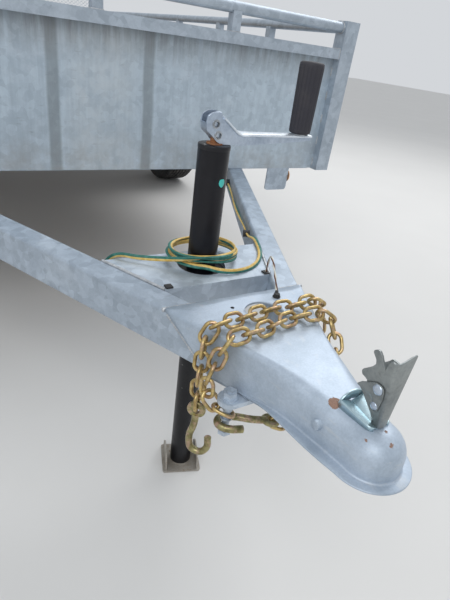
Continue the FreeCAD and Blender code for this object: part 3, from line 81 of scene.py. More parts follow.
class Shell:
    """Faces gathered from grids of points, which become one piece."""

    def __init__(self):
        self.points = []
        self.faces = {3: [], 4: []}
        self.ways = []
        self.count = 0

    def grid(self, points, around=False, along=False, caps=False, way=None):
        """Adds grids from an array (..., rows, columns, 3): point (r, c) joins (r+1, c) and (r, c+1).
        around closes the columns on themselves, along closes the rows, and caps closes the first and
        last row with a fan about its mean point. way gives each point three numbers for its finish."""
        points = np.asarray(points, float)
        block = points.reshape(-1, *points.shape[-3:])
        number = np.arange(block[..., 0].size).reshape(block.shape[:3]) + self.count
        ways = np.zeros(block.shape) if way is None else np.broadcast_to(way, points.shape).reshape(block.shape)
        self.points.append(block.reshape(-1, 3))
        self.ways.append(ways.reshape(-1, 3))
        self.count += number.size
        if along:
            number = np.concatenate([number, number[:, :1]], 1)
        if around:
            number = np.concatenate([number, number[:, :, :1]], 2)
        quads = [number[:, :-1, :-1], number[:, :-1, 1:], number[:, 1:, 1:], number[:, 1:, :-1]]
        self.faces[4].append(np.stack(quads, -1).reshape(-1, 4))
        if caps:
            ends = block[:, [0, -1]].mean(2).reshape(-1, 3)
            middle = np.arange(len(ends)).reshape(-1, 2) + self.count
            self.points.append(ends)
            self.ways.append(ways[:, [0, -1]].mean(2).reshape(-1, 3))
            self.count += len(ends)
            for side, row in ((0, 0), (1, -1)):
                rim = number[:, row]
                hub = np.broadcast_to(middle[:, side:side + 1], rim[:, 1:].shape)
                self.faces[3].append(np.stack([hub, rim[:, 1:], rim[:, :-1]], -1).reshape(-1, 3))
        return self

    def solid(self, points, **more):
        """Adds grids closed around and at both ends."""
        return self.grid(points, around=True, caps=True, **more)

    def piece(self, name, finish, body="chassis", sharp=38, merge=None):
        """Makes the mesh, with its faces turned outwards, and lets it ride on a body. Edges sharper
        than that angle stay sharp, and points nearer than merge millimetres become one."""
        coordinates = metres(np.concatenate(self.points)).astype(np.float32)
        corners, starts, at = [], [], 0
        for size, faces in self.faces.items():
            if faces:
                faces = np.concatenate(faces)
                corners.append(faces.ravel())
                starts.append(at + size * np.arange(len(faces)))
                at += faces.size
        corners, starts = np.concatenate(corners), np.concatenate(starts)
        mesh = bpy.data.meshes.new(name)
        mesh.vertices.add(len(coordinates))
        mesh.vertices.foreach_set("co", coordinates.ravel())
        mesh.loops.add(len(corners))
        mesh.loops.foreach_set("vertex_index", corners.astype(np.int32))
        mesh.polygons.add(len(starts))
        mesh.polygons.foreach_set("loop_start", starts.astype(np.int32))
        mesh.update(calc_edges=True)
        way = mesh.attributes.new("way", "FLOAT_VECTOR", "POINT")
        way.data.foreach_set("vector", np.concatenate(self.ways).astype(np.float32).ravel())
        made = bmesh.new()
        made.from_mesh(mesh)
        if merge:
            bmesh.ops.remove_doubles(made, verts=made.verts, dist=merge / 1000)
        bmesh.ops.recalc_face_normals(made, faces=made.faces)
        made.to_mesh(mesh)
        made.free()
        mesh.shade_smooth()
        if sharp:
            mesh.set_sharp_from_angle(angle=math.radians(sharp))
        mesh.materials.append(finish)
        piece = bpy.data.objects.new(name, mesh)
        bpy.context.scene.collection.objects.link(piece)
        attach(piece, body)
        return piece


def bend(before, corner, after, radius, steps):
    """Arcs that round corners: arrays (..., 2) give arrays (..., steps, 2) that touch both sides."""
    back, ahead = unit(before - corner), unit(after - corner)
    half = np.arccos(np.clip((back * ahead).sum(-1), -1, 1))[..., None] / 2
    radius = np.broadcast_to(np.asarray(radius, float), half.shape[:-1])[..., None]
    centre = corner + unit(back + ahead) * radius / np.sin(half)
    first = (corner + back * radius / np.tan(half) - centre)[..., None, :]
    last = (corner + ahead * radius / np.tan(half) - centre)[..., None, :]
    share = wave(0, 1, steps)[:, None]
    sweep = (math.pi - 2 * half)[..., None, :]
    arc = np.sin((1 - share) * sweep) * first + np.sin(share * sweep) * last
    return centre[..., None, :] + arc / np.sin(sweep)


def rounded(corners, steps):
    """Closed outline through corners (u, v, radius): each gives an arc of steps points."""
    corners = np.asarray(corners, float)
    place = corners[:, :2]
    return bend(np.roll(place, 1, 0), place, np.roll(place, -1, 0), corners[:, 2], steps).reshape(-1, 2)


def between(table, places):
    """Rows of a table (place, values...) read at other places, along cubics that pass through its rows."""
    table = np.asarray(table, float)
    at, values = table[:, 0], table[:, 1:]
    slope = np.gradient(values, at, axis=0)
    i = np.clip(np.searchsorted(at, places) - 1, 0, len(at) - 2)
    run = (at[i + 1] - at[i])[:, None]
    t = (np.asarray(places) - at[i])[:, None] / run
    return ((2 * t ** 3 - 3 * t ** 2 + 1) * values[i] + (t ** 3 - 2 * t ** 2 + t) * run * slope[i]
            + (3 * t ** 2 - 2 * t ** 3) * values[i + 1] + (t ** 3 - t ** 2) * run * slope[i + 1])


def thicken(piece, thickness, offset=-1.0):
    """Gives a sheet its thickness in millimetres."""
    sheet = piece.modifiers.new("sheet", "SOLIDIFY")
    sheet.thickness = thickness / 1000
    sheet.offset = offset


def prism(outline, low, high, plane, ease):
    """Rings that carry an outline from low to high along its normal; at each end the ring is drawn in
    by ease, so that the edge is broken by a small bevel."""
    outline = np.asarray(outline, float)
    before, after = outline - np.roll(outline, 1, 0), np.roll(outline, -1, 0) - outline
    run = unit(unit(before + 1e-9) + unit(after + 1e-9))
    area = (outline[:, 0] * np.roll(outline[:, 1], -1) - np.roll(outline[:, 0], -1) * outline[:, 1]).sum()
    inward = np.stack([-run[:, 1], run[:, 0]], 1) * np.sign(area)
    rows = []
    for level, draw in ((low, ease), (low + ease, 0.0), (high - ease, 0.0), (high, ease)):
        u, v = (outline + inward * draw).T
        rows.append(join(*{"XZ": (u, level, v), "YZ": (level, u, v)}[plane]))
    return np.stack(rows)


def lathe(profile, centre, axis="Z", steps=64):
    """Profile (radius, height) carried round an axis: point = centre + radius (cos a, sin a) + height."""
    profile = np.asarray(profile, float)
    angle = wave(0, TURN, steps, closed=True)
    radius, height = profile[:, :1], profile[:, 1:]
    u, v = radius * np.cos(angle), radius * np.sin(angle)
    parts = {"Z": (u, v, height), "X": (height, u, v), "Y": (v, height, u)}[axis]
    return join(*parts) + np.asarray(centre, float)


def heads(centres, u, v, rise, axis):
    """Grids on base centres, from two coordinates across an axis and a rise along it."""
    parts = {"Z": (u, v, rise), "X": (rise, u, v), "Y": (u, rise, v)}[axis]
    return np.asarray(centres, float).reshape(-1, 1, 1, 3) + join(*parts)


def hexagons(centres, across, height, axis, turn):
    """Hexagon heads: six-sided rings, the top one drawn in."""
    angle = wave(0, TURN, 6, closed=True) + turn
    radius = across / math.sqrt(3) * np.array([1.0, 1.0, 0.86])[:, None]
    rise = height * np.array([0.0, 0.82, 1.0])[:, None]
    return heads(centres, radius * np.cos(angle), radius * np.sin(angle), rise, axis)


def domes(centres, radius, height, axis="Z", steps=16, rows=5):
    """Low round heads: radius cos t and height sin t turned about one axis."""
    t = wave(0, math.pi / 2, rows)[:, None]
    a = wave(0, TURN, steps, closed=True)
    reach = radius * np.cos(t)
    return heads(centres, reach * np.cos(a), reach * np.sin(a), height * np.sin(t), axis)


def tube(path, radius, steps=10, twist=0.0, flat=1.0, lobes=0.0):
    """Ring (cos a, sin a) carried along a path on frames square to it; flat squeezes the ring, twist
    turns it, by one number of radians per millimetre or by an angle for each point, and lobes pinches
    its middle, for a bonded pair. Gives the rings and (cos a, sin a, length) for their finish."""
    path = np.asarray(path, float)
    tangent = unit(np.gradient(path, axis=0))
    side = unit(np.cross(tangent, np.array([0.5, 0.3, 0.81])))
    up = np.cross(side, tangent)
    length = lengths(path)
    angle = wave(0, TURN, steps, closed=True)
    spin = (twist * length if np.isscalar(twist) else twist)[:, None]
    wide = np.cos(angle)
    high = np.sin(angle) * flat * (1 - lobes * np.exp(-(wide / 0.28) ** 2))
    u = wide * np.cos(spin) - high * np.sin(spin)
    v = wide * np.sin(spin) + high * np.cos(spin)
    size = np.broadcast_to(np.asarray(radius, float), (len(path),))[:, None, None]
    rings = path[:, None] + size * (u[..., None] * side[:, None] + v[..., None] * up[:, None])
    return rings, join(np.cos(angle), np.sin(angle), (length / 1000)[:, None])


def even(path, step):
    """The same path with points a step apart."""
    path = np.asarray(path, float)
    length = lengths(path)
    places = np.linspace(0, length[-1], max(int(length[-1] / step), 2))
    return np.stack([np.interp(places, length, path[:, i]) for i in range(3)], 1)


def smooth_line(points):
    """Points along the open NURBS line that a route in millimetres controls."""
    curve = bpy.data.curves.new("line", "CURVE")
    curve.dimensions = "3D"
    curve.resolution_u = 16
    spline = curve.splines.new("NURBS")
    spline.points.add(len(points) - 1)
    spline.points.foreach_set("co", np.c_[metres(points), np.ones(len(points))].ravel())
    spline.order_u = 3
    spline.use_endpoint_u = True
    line = bpy.data.objects.new("line", curve)
    bpy.context.scene.collection.objects.link(line)
    mesh = bpy.data.meshes.new_from_object(line)
    found = np.zeros(len(mesh.vertices) * 3)
    mesh.vertices.foreach_get("co", found)
    bpy.data.objects.remove(line)
    bpy.data.meshes.remove(mesh)
    return found.reshape(-1, 3) * 1000 - APEX


def add_object(name, data, right, up, back, place):
    """Adds a camera or lamp at a place in millimetres, with its own axes along three directions."""
    made = bpy.data.objects.new(name, data)
    bpy.context.scene.collection.objects.link(made)
    turned = Matrix(np.stack([right, up, back], 1).tolist()).to_4x4()
    turned.translation = metres(place).tolist()
    made.matrix_world = turned
    return made


def operator(operation, swapped=False):
    """A method that adds the Math node of an operation and gives its output."""

    def method(self, *others):
        values = (*others, self) if swapped else (self, *others)
        return self.finish.node("Math", {"operation": operation}, dict(enumerate(values)))

    return method


class Wire:
    """A number on its way to a shader: each operator adds the Math node that works it out."""

    def __init__(self, finish, socket):
        self.finish = finish
        self.socket = socket

    __add__ = __radd__ = operator("ADD")
    __sub__, __rsub__ = operator("SUBTRACT"), operator("SUBTRACT", swapped=True)
    __mul__, __pow__ = operator("MULTIPLY"), operator("POWER")
    least, most, rest = operator("MINIMUM"), operator("MAXIMUM"), operator("MODULO")
    size, sine = operator("ABSOLUTE"), operator("SINE")

    def step(self, low, high):
        """0 below low, 1 above high, smooth between; with low above high it falls instead."""
        return self.finish.node("MapRange", {"interpolation_type": "SMOOTHSTEP"},
                                {"Value": self, "From Min": low, "From Max": high})


class Finish:
    """One material: node() adds a node, the other methods are common groups of nodes."""

    def __init__(self, name):
        self.material = bpy.data.materials.new(name)
        self.material.use_nodes = True
        self.tree = self.material.node_tree
        self.tree.nodes.clear()
        self.place = self.node("TexCoord", out=3)

    def node(self, kind, settings=None, sockets=None, out=0):
        """Adds a node of that type, with its settings first and then its sockets, and gives an output."""
        node = self.tree.nodes.new("ShaderNode" + kind)
        for key, value in (settings or {}).items():
            if key == "stops":
                for i, (stop, colour) in enumerate(value):
                    points = node.color_ramp.elements
                    point = points[i] if i < 2 else points.new(stop)
                    point.position = stop
                    point.color = (*colour, 1.0)
            else:
                setattr(node, key, value)
        for key, value in (sockets or {}).items():
            if isinstance(value, Wire):
                self.tree.links.new(value.socket, node.inputs[key])
            else:
                node.inputs[key].default_value = value
        return Wire(self, node.outputs[out])

    def spread(self, x=1.0, y=1.0, z=1.0, where=None):
        """The place on the piece, stretched along each axis."""
        return self.node("VectorMath", {"operation": "MULTIPLY"}, {0: where or self.place, 1: (x, y, z)})

    def noise(self, scale, detail=3.0, rough=0.55, where=None, warp=0.0):
        """Soft noise from 0 to 1, with so many swells to a metre."""
        return self.node("TexNoise", {}, {"Vector": where or self.place, "Scale": scale, "Detail": detail,
                                          "Roughness": rough, "Distortion": warp})

    def cells(self, scale, where=None, feature="F1", out=0):
        """Random cells: the distance to one, or with out=1 a colour for each."""
        return self.node("TexVoronoi", {"feature": feature},
                         {"Vector": where or self.place, "Scale": scale}, out)

    def axis(self, name, where=None):
        """One coordinate of the place on the piece, or of another vector."""
        return self.node("SeparateXYZ", {}, {0: where or self.place}, "XYZ".index(name))

    def way(self, name):
        """One of the three numbers that each point carries for its finish."""
        return self.axis(name, self.node("Attribute", {"attribute_name": "way"}, {}, 1))

    def moved(self, by):
        """The place on the piece, moved by a vector."""
        return self.node("VectorMath", {"operation": "ADD"}, {0: self.place, 1: by})

    def ramp(self, value, *stops):
        """A colour read along stops (place, colour)."""
        return self.node("ValToRGB", {"stops": stops}, {0: value})

    def blend(self, share, first, second, kind="MIX"):
        """Two colours mixed: at share 0 the first, at 1 the second."""
        first = first if isinstance(first, Wire) else (*first, 1.0)
        second = second if isinstance(second, Wire) else (*second, 1.0)
        return self.node("Mix", {"data_type": "RGBA", "blend_type": kind}, {0: share, 6: first, 7: second}, 2)

    def near(self, x, y, z, radius, blur=0.5):
        """1 at a place in millimetres, falling to 0 at that radius."""
        centre = metres([x, y, z])
        gap = self.node("VectorMath", {"operation": "DISTANCE"}, {0: self.place, 1: tuple(centre)}, 1)
        return gap.step(radius / 1000, radius * blur / 1000)

    def bump(self, height, strength, distance=0.001):
        """The surface's direction, tilted by a height."""
        return self.node("Bump", {}, {"Height": height, "Strength": strength, "Distance": distance})

    def close(self, base, rough=0.5, metal=0.0, normal=None, **more):
        """Ends the material in a Principled shader."""
        sockets = {"Base Color": base if isinstance(base, Wire) else (*base, 1.0), "Roughness": rough,
                   "Metallic": metal}
        if normal:
            sockets["Normal"] = normal
        for key, value in more.items():
            sockets[key.replace("_", " ")] = value
        shader = self.node("BsdfPrincipled", {}, sockets)
        end = self.tree.nodes.new("ShaderNodeOutputMaterial")
        self.tree.links.new(shader.socket, end.inputs[0])
        return self.material


def galvanised(name, pale=(0.53, 0.61, 0.70), deep=(0.31, 0.365, 0.43), streak=0.0, under=None, low=None,
               metal=0.5, bands=()):
    """Hot-dip zinc: dull crystals of two greys, clouds and fine mottling. streak adds runs down the
    sheet, under is the height of a rail with a darker zone beneath it, broken into upright runs, low
    is the height of a dirty lower edge, and bands are the places along X of darker upright bands,
    with a paler patch between them."""
    f = Finish(name)
    swirl = f.node("TexNoise", {}, {"Vector": f.place, "Scale": 40.0}, 1)
    swirl = f.node("VectorMath", {"operation": "SCALE"}, {0: swirl, "Scale": 0.012})
    crystal = f.axis("X", f.cells(58.0, f.moved(swirl), out=1))
    cloud = f.noise(3.2, 4.0, 0.6)
    mottle = f.noise(26.0, 5.0, 0.65)
    fine = f.noise(240.0, 3.0, 0.6)
    tone = crystal * 0.22 + cloud * 0.34 + mottle * 0.42 + fine * 0.2 - 0.1
    if streak:
        runs = f.noise(1.0, 4.0, 0.6, f.spread(46.0, 46.0, 2.2))
        thin = f.noise(1.0, 3.0, 0.6, f.spread(170.0, 170.0, 9.0))
        tone = tone + (runs - 0.5) * streak + (thin - 0.5) * (0.6 * streak)
    base = f.blend(tone.step(0.22, 0.86), deep, pale)
    chalk = (f.noise(7.0, 6.0, 0.7, warp=0.6) * 0.7 + mottle * 0.3).step(0.53, 0.66)
    base = f.blend(chalk * 0.4, base, (0.58, 0.645, 0.71))
    scuff = f.noise(1.0, 2.0, 0.5, f.spread(30.0, 190.0, 190.0)).step(0.66, 0.76)
    base = f.blend(scuff * 0.3, base, (0.19, 0.21, 0.24))
    # darker upright bands at the given places along X, and below them a paler patch in between
    for band in bands:
        dark_band = (f.axis("X") - band + (cloud - 0.5) * 0.012).size().step(0.021, 0.011)
        base = f.blend(dark_band * (0.35 + mottle * 0.5), base, (0.20, 0.23, 0.245))
    if bands:
        patch = (f.axis("X") - sum(bands) / 2).size().step(0.13, 0.05)
        patch = patch * (mottle * 0.6 + cloud * 0.6).step(0.4, 0.75)
        base = f.blend(patch * 0.4, base, (0.58, 0.62, 0.635))
    height = f.axis("Z")
    rough = 0.36 + tone * 0.22 + chalk * 0.14
    # darker zone just beneath the rail, strongest at the rail and broken into upright runs
    if under:
        gap = (height * -1 + under).most(0)
        upright_runs = f.noise(1.0, 3.0, 0.7, f.spread(60.0, 60.0, 5.0))
        darker_under_rail = gap.step(0.11, 0.0) * (upright_runs * 1.6 - 0.25).most(0).least(1)
        base = f.blend(darker_under_rail * 0.75, base, (0.15, 0.14, 0.125))
    if low:
        mud = height.step(low + 0.16, low) * f.noise(9.0, 5.0, 0.7).step(0.3, 0.75)
        base = f.blend(mud * 0.5, base, (0.30, 0.27, 0.235))
        rough = rough + mud * 0.2
    normal = f.bump(mottle * 0.5 + crystal * 0.15 + fine * 0.35, 0.25, 0.0012)
    return f.close(base, rough, metal, normal)


def plated(name, pale, deep, metal=0.85, rough=0.3, scale=90.0, stain=(0.25, 0.2, 0.15), stained=0.25):
    """Zinc plate or bare metal: two tones in soft clouds, small scratches, and stains in patches."""
    f = Finish(name)
    cloud = f.noise(scale * 0.3, 4.0, 0.6)
    fine = f.noise(scale * 4, 3.0, 0.6)
    base = f.blend((cloud * 0.7 + fine * 0.3).step(0.3, 0.7), deep, pale)
    spots = f.noise(scale, 5.0, 0.65).step(0.56, 0.7)
    base = f.blend(spots * stained, base, stain)
    scratch = f.noise(1.0, 2.0, 0.5, f.spread(scale * 1.2, scale * 7, scale * 7)).step(0.62, 0.7)
    normal = f.bump(fine * 0.5 - scratch * 0.5, 0.12, 0.0006)
    return f.close(base, rough + spots * 0.22 + cloud * 0.12, metal, normal)


def enamel(name, base, dust=(0.24, 0.225, 0.2), dusty=0.35, rough=0.24, metal=0.0, coat=0.4, chips=0.0,
           grain=0.15, shine=0.5):
    """Paint over steel: slight ripple, dust in clouds, and chips down to grey."""
    f = Finish(name)
    cloud = f.noise(14.0, 5.0, 0.65)
    fine = f.noise(420.0, 2.0, 0.5)
    colour = f.blend(cloud.step(0.3, 0.7), tuple(c * 0.8 for c in base), tuple(min(c * 1.2, 1) for c in base))
    veil = cloud.step(0.45, 0.75) * fine.step(0.35, 0.6)
    colour = f.blend(veil * dusty, colour, dust)
    if chips:
        chip = f.noise(60.0, 5.0, 0.7).step(0.66, 0.69) * chips
        colour = f.blend(chip, colour, (0.36, 0.35, 0.33))
    normal = f.bump(fine * 0.5 + f.noise(90.0, 2.0), grain, 0.0004)
    return f.close(colour, rough + veil * 0.4, metal, normal, Coat_Weight=coat, Coat_Roughness=0.12,
                   Specular_IOR_Level=shine)


def rubber(name, base=(0.022, 0.022, 0.024), dusty=0.3, rough=0.55):
    """Rubber or dull plastic: one dark tone under dust in clouds."""
    f = Finish(name)
    cloud = f.noise(22.0, 5.0, 0.65)
    fine = f.noise(500.0, 2.0, 0.5)
    colour = f.blend(cloud.step(0.4, 0.75) * dusty, base, (0.2, 0.18, 0.155))
    return f.close(colour, rough + cloud * 0.2, 0.0, f.bump(fine, 0.15, 0.0004))


def plastic_lens(name, deep, bright):
    """Clear coloured lens: fine upright ribs under a glossy skin; the colour is lighter near each rib's crest,
    a painted highlight.
    """
    f = Finish(name)
    rib = (f.axis("Z") * 1600.0).sine() * 0.5 + 0.5
    cloud = f.noise(60.0, 3.0)
    # lighter colour at each rib's crest: a painted highlight
    colour = f.blend(rib * 0.6 + cloud * 0.4, deep, bright)
    return f.close(colour, 0.16 + cloud * 0.1, 0.0, f.bump(rib, 0.3, 0.0008), Coat_Weight=0.8)


def wood():
    """Weathered planks: grain along Y from stretched noise, each board its own tone, knots and grey."""
    f = Finish("weathered_plank")
    tone = f.way("X")
    moved = f.moved(f.node("CombineXYZ", {}, {0: tone * 7.0, 1: tone * 13.0}))
    rings = f.noise(1.0, 5.0, 0.6, f.spread(34.0, 1.3, 34.0, moved), warp=0.5)
    grain = f.noise(1.0, 3.0, 0.7, f.spread(360.0, 7.0, 360.0, moved))
    bands = (rings * 46.0).sine() * 0.5 + 0.5
    colour = f.ramp(bands * 0.55 + grain * 0.45, (0.12, (0.16, 0.105, 0.062)), (0.5, (0.36, 0.255, 0.16)),
                    (0.9, (0.50, 0.385, 0.26)))
    colour = f.blend(tone * 0.5, colour, (0.30, 0.22, 0.15), "MULTIPLY")
    grey = f.noise(2.6, 5.0, 0.65, moved).step(0.38, 0.7)
    colour = f.blend(grey * 0.55, colour, (0.34, 0.32, 0.29))
    knot = f.cells(5.5, f.spread(1.6, 0.55, 1.0, moved)).step(0.075, 0.03)
    colour = f.blend(knot * 0.8, colour, (0.10, 0.06, 0.035))
    crack = grain.step(0.36, 0.27)
    colour = f.blend(crack * 0.6, colour, (0.09, 0.065, 0.045))
    normal = f.bump(bands * 0.4 + grain * 0.6 - crack * 0.5, 0.5, 0.0012)
    return f.close(colour, 0.72 + grey * 0.15, 0.0, normal)


def coupler_grey():
    """Pale zinc on a pressing: soft clouds, fine scuffs, and ragged rust at the latch and on the nose."""
    f = Finish("coupler_zinc")
    cloud = f.noise(12.0, 5.0, 0.6)
    fine = f.noise(300.0, 3.0, 0.6)
    scuff = f.noise(1.0, 3.0, 0.6, f.spread(60.0, 28.0, 260.0)).step(0.58, 0.72)
    base = f.blend((cloud * 0.75 + fine * 0.25).step(0.32, 0.7), (0.35, 0.42, 0.50), (0.53, 0.61, 0.71))
    base = f.blend(scuff * 0.35, base, (0.58, 0.60, 0.61))
    rust = f.noise(55.0, 6.0, 0.7)
    small = f.near(2, -52, 541, 7, 0.2) + f.near(-4, -68, 538, 7, 0.2) + f.near(-27, -48, 538, 6, 0.2)
    here = f.near(-23, 13, 547, 13.5, 0.6) + small * 0.8
    ragged = f.noise(210.0, 4.0, 0.7) - 0.5
    spot = (here * 0.55 + rust * 1.1 + ragged * 0.7 - 0.88).step(0.0, 0.14)
    base = f.blend(spot * 0.85, base, f.blend(fine, (0.13, 0.048, 0.015), (0.36, 0.16, 0.055)))
    return f.close(base, 0.38 + cloud * 0.18 + spot * 0.3, 0.4 - spot * 0.35,
                   f.bump(fine * 0.4 + cloud * 0.6 + spot, 0.25, 0.001))


def gold(name, pale, deep, dust):
    """Yellow zinc: gold with pink and green films in patches, brown dust where it isn't rubbed."""
    f = Finish(name)
    film = f.noise(75.0, 4.0, 0.6)
    base = f.blend(film.step(0.3, 0.7), deep, pale)
    base = f.blend(f.noise(90.0, 2.0).step(0.48, 0.66) * 0.55, base, (0.62, 0.40, 0.33))
    grime = f.noise(190.0, 5.0, 0.7).step(0.5, 0.68)
    base = f.blend(grime * 0.5, base, dust)
    return f.close(base, 0.26 + grime * 0.3 + film * 0.12, 0.85 - grime * 0.35,
                   f.bump(f.noise(600.0, 3.0), 0.15, 0.0005))


def bonded_pair():
    """Flat pair of cores: the side where way's first number is positive is yellow, the other green."""
    f = Finish("bonded_cores")
    side = f.way("X").step(-0.06, 0.06)
    dust = f.noise(120.0, 5.0, 0.65)
    green = f.blend(dust.step(0.35, 0.7), (0.012, 0.12, 0.095), (0.05, 0.22, 0.18))
    yellow = f.blend(dust.step(0.35, 0.7), (0.62, 0.40, 0.085), (0.80, 0.60, 0.22))
    base = f.blend(dust.step(0.6, 0.8) * 0.35, f.blend(side, green, yellow), (0.38, 0.34, 0.27))
    return f.close(base, 0.38 + dust * 0.2, 0.0, f.bump(dust, 0.08, 0.0004))


def twin_wire():
    """Two thin wires laid round each other: bands of brown and off-white that wind along the cord."""
    f = Finish("ground_cores")
    base = f.blend(f.way("X").step(-0.1, 0.1), (0.13, 0.055, 0.03), (0.70, 0.68, 0.60))
    return f.close(base, 0.35 + f.noise(200.0) * 0.2, 0.0)


RING_LIFT = 0.5 * math.sin(0.5)  # of the tyre's two raised rings


def tread_rubber():
    """Tyre: black flanks with two low raised rings, grey dust worn into the tread blocks."""
    f = Finish("tyre_rubber")
    tread = f.way("Y")
    cloud = f.noise(30.0, 5.0, 0.65)
    base = f.blend(cloud.step(0.35, 0.7), (0.016, 0.016, 0.017), (0.036, 0.035, 0.034))
    base = f.blend(cloud.step(0.35, 0.85) * (0.1 + tread * 0.5), base, (0.13, 0.12, 0.105))
    back, up = f.axis("Y") - 0.869, f.axis("Z") - 0.3445
    reach = (back * back + up * up) ** 0.5
    rings = (reach - 0.2475).size().step(0.0085, 0.0075) + (reach - 0.312).size().step(0.0065, 0.0055)
    lift = rings * reach.step(0.331, 0.327) * RING_LIFT + f.noise(380.0, 3.0) * 0.25
    return f.close(base, 0.6 + cloud * 0.2, 0.0, f.bump(lift, 0.5, 0.0012))


def tape():
    """Plain reflecting tape: a honeycomb of small cells under clear film, red and white by length."""
    f = Finish("reflecting_tape")
    red = 1 - (f.axis("Y") + 10.0).rest(0.46).step(0.279, 0.281)
    cell = f.cells(260.0, feature="DISTANCE_TO_EDGE").step(0.02, 0.06)
    colour = f.blend(red, (0.78, 0.79, 0.79), (0.60, 0.015, 0.02))
    colour = f.blend((1 - cell) * 0.35, colour, (0.25, 0.24, 0.24))
    return f.close(colour, 0.22 + cell * 0.1, 0.0, f.bump(cell, 0.1, 0.0003), Coat_Weight=0.6)


ZINC = galvanised("galvanised_tube")
RAIL = galvanised("galvanised_rail", pale=(0.53, 0.60, 0.675), deep=(0.335, 0.39, 0.45))
SHEET_TONES = {"pale": (0.535, 0.63, 0.71), "deep": (0.385, 0.46, 0.53), "streak": 0.5, "low": 0.547,
               "metal": 0.4}
SHEET = galvanised("galvanised_sheet", under=0.937, **SHEET_TONES)
FRONT = galvanised("galvanised_front", under=0.937, bands=(-0.119, 0.157), **SHEET_TONES)
FENDER = galvanised("galvanised_fender", **SHEET_TONES)
FLAT = galvanised("galvanised_plate", pale=(0.62, 0.70, 0.79), deep=(0.38, 0.44, 0.51))
COUPLER = coupler_grey()
LATCH = plated("latch_zinc", (0.36, 0.385, 0.38), (0.20, 0.22, 0.225), 0.75, 0.36, 60.0,
               (0.12, 0.12, 0.10), 0.35)
# the trough's zinc, made pale and turquoise by a painted highlight of its lit inside
TROUGH_PAINTED_HIGHLIGHT = plated("trough_zinc_painted_highlight", (0.60, 0.76, 0.80), (0.42, 0.56, 0.62), 0.8, 0.24, 60.0)
BRIGHT = plated("bright_zinc", (0.62, 0.70, 0.80), (0.36, 0.43, 0.53), 0.8, 0.25, 50.0,
                (0.34, 0.37, 0.41), 0.3)
# paler copy of the crank's zinc: a painted highlight for the strip over the crank's web
ZINC_PAINTED_HIGHLIGHT = plated("crank_web_zinc_painted_highlight", (0.84, 0.89, 0.94), (0.62, 0.69, 0.76), 0.6, 0.26, 50.0,
                (0.5, 0.5, 0.5), 0.2)
RUSTY = plated("rusty_collar", (0.50, 0.23, 0.09), (0.24, 0.10, 0.05), 0.2, 0.7, 160.0,
               (0.3, 0.27, 0.24), 0.4)
BOLT = plated("bolt_zinc", (0.62, 0.65, 0.68), (0.36, 0.38, 0.40), 0.85, 0.3, 120.0)
GOLD = gold("chain_gold", (0.70, 0.54, 0.24), (0.36, 0.25, 0.10), (0.16, 0.12, 0.08))
OLIVE = gold("hook_olive", (0.42, 0.38, 0.19), (0.19, 0.165, 0.07), (0.11, 0.095, 0.07))
BLACK = enamel("jack_enamel", (0.006, 0.006, 0.009), dusty=0.03, rough=0.3, coat=0.05, shine=0.3)
LEG = enamel("leg_enamel", (0.008, 0.008, 0.010), dusty=0.06, rough=0.34, coat=0.05, chips=0.3,
             grain=0.4, shine=0.3)
AXLE = enamel("axle_paint", (0.03, 0.03, 0.032), dusty=0.6, rough=0.4, chips=0.5)
SPRING = enamel("spring_paint", (0.045, 0.038, 0.034), dust=(0.21, 0.12, 0.07), dusty=0.6,
                rough=0.45, chips=0.3)
GRIP = rubber("grip_rubber", (0.026, 0.025, 0.034), dusty=0.1, rough=0.55)
RUBBER = rubber("soft_rubber")
PLUG = rubber("plug_plastic", (0.02, 0.02, 0.022), dusty=0.2, rough=0.42)
TYRE = tread_rubber()
RIM = enamel("rim_silver", (0.55, 0.565, 0.58), dust=(0.30, 0.28, 0.25), dusty=0.35, rough=0.3, metal=0.5)
HUB = plated("hub_zinc", (0.55, 0.57, 0.59), (0.33, 0.35, 0.37), 0.8, 0.32, 80.0)
FOOT = plated("foot_zinc", (0.44, 0.42, 0.38), (0.27, 0.24, 0.20), 0.35, 0.55, 70.0, (0.22, 0.15, 0.09), 0.6)
WOOD = wood()
RED = plastic_lens("red_lens", (0.20, 0.004, 0.005), (0.62, 0.025, 0.02))
AMBER = plastic_lens("amber_lens", (0.50, 0.13, 0.006), (0.92, 0.42, 0.04))
CORES = bonded_pair()
WIRES = twin_wire()
TAPE = tape()
WELD = plated("weld_metal", (0.62, 0.64, 0.66), (0.36, 0.38, 0.40), 0.6, 0.34, 200.0, (0.2, 0.19, 0.17), 0.4)
CAP = enamel("cap_enamel", (0.012, 0.012, 0.015), dusty=0.15, rough=0.35, coat=0.05, chips=0.7, shine=0.3)
SHADE = rubber("hole_shade", (0.01, 0.01, 0.012), dusty=0.05, rough=0.9)
TEAL = enamel("teal_dot", (0.05, 0.52, 0.47), dusty=0.1, rough=0.35, coat=0.1)

NODE_FINISH = (
    (ZINC, "tongue_tubes side_rails crossmembers spring_hangers lamp_brackets"),
    (FLAT, "jack_plate chain_ears"), (COUPLER, "coupler_body"), (LATCH, "coupler_latch"),
    (GOLD, "safety_chain_left safety_chain_right"), (OLIVE, "chain_hooks"), (BLACK, "jack_housing"),
    (BRIGHT, "jack_crank"), (GRIP, "jack_grip"), (LEG, "jack_leg_tube"), (FOOT, "jack_foot"),
    (WOOD, "deck_boards"), (FRONT, "front_wall"), (SHEET, "right_wall left_wall"),
    (RAIL, "corner_posts side_stakes top_chords pipe_rails rail_uprights rear_sill gate_frame gate_mesh"),
    (AXLE, "axle_beam"), (SPRING, "leaf_springs"), (BOLT, "axle_clamps"), (RED, "tail_lamps"),
    (FENDER, "fender_right fender_left"), (AMBER, "marker_lamps"), (CORES, "harness_lead harness_coil"),
    (PLUG, "harness_plug"), (WIRES, "ground_wire"), (RUBBER, "grommets"),
    (TYRE, "tyre_right tyre_left"), (RIM, "rim_right rim_left"), (HUB, "hub_right hub_left"))
for finish, names in NODE_FINISH:
    for name in names.split():
        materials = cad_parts[name].data.materials
        materials.clear()
        materials.append(finish)


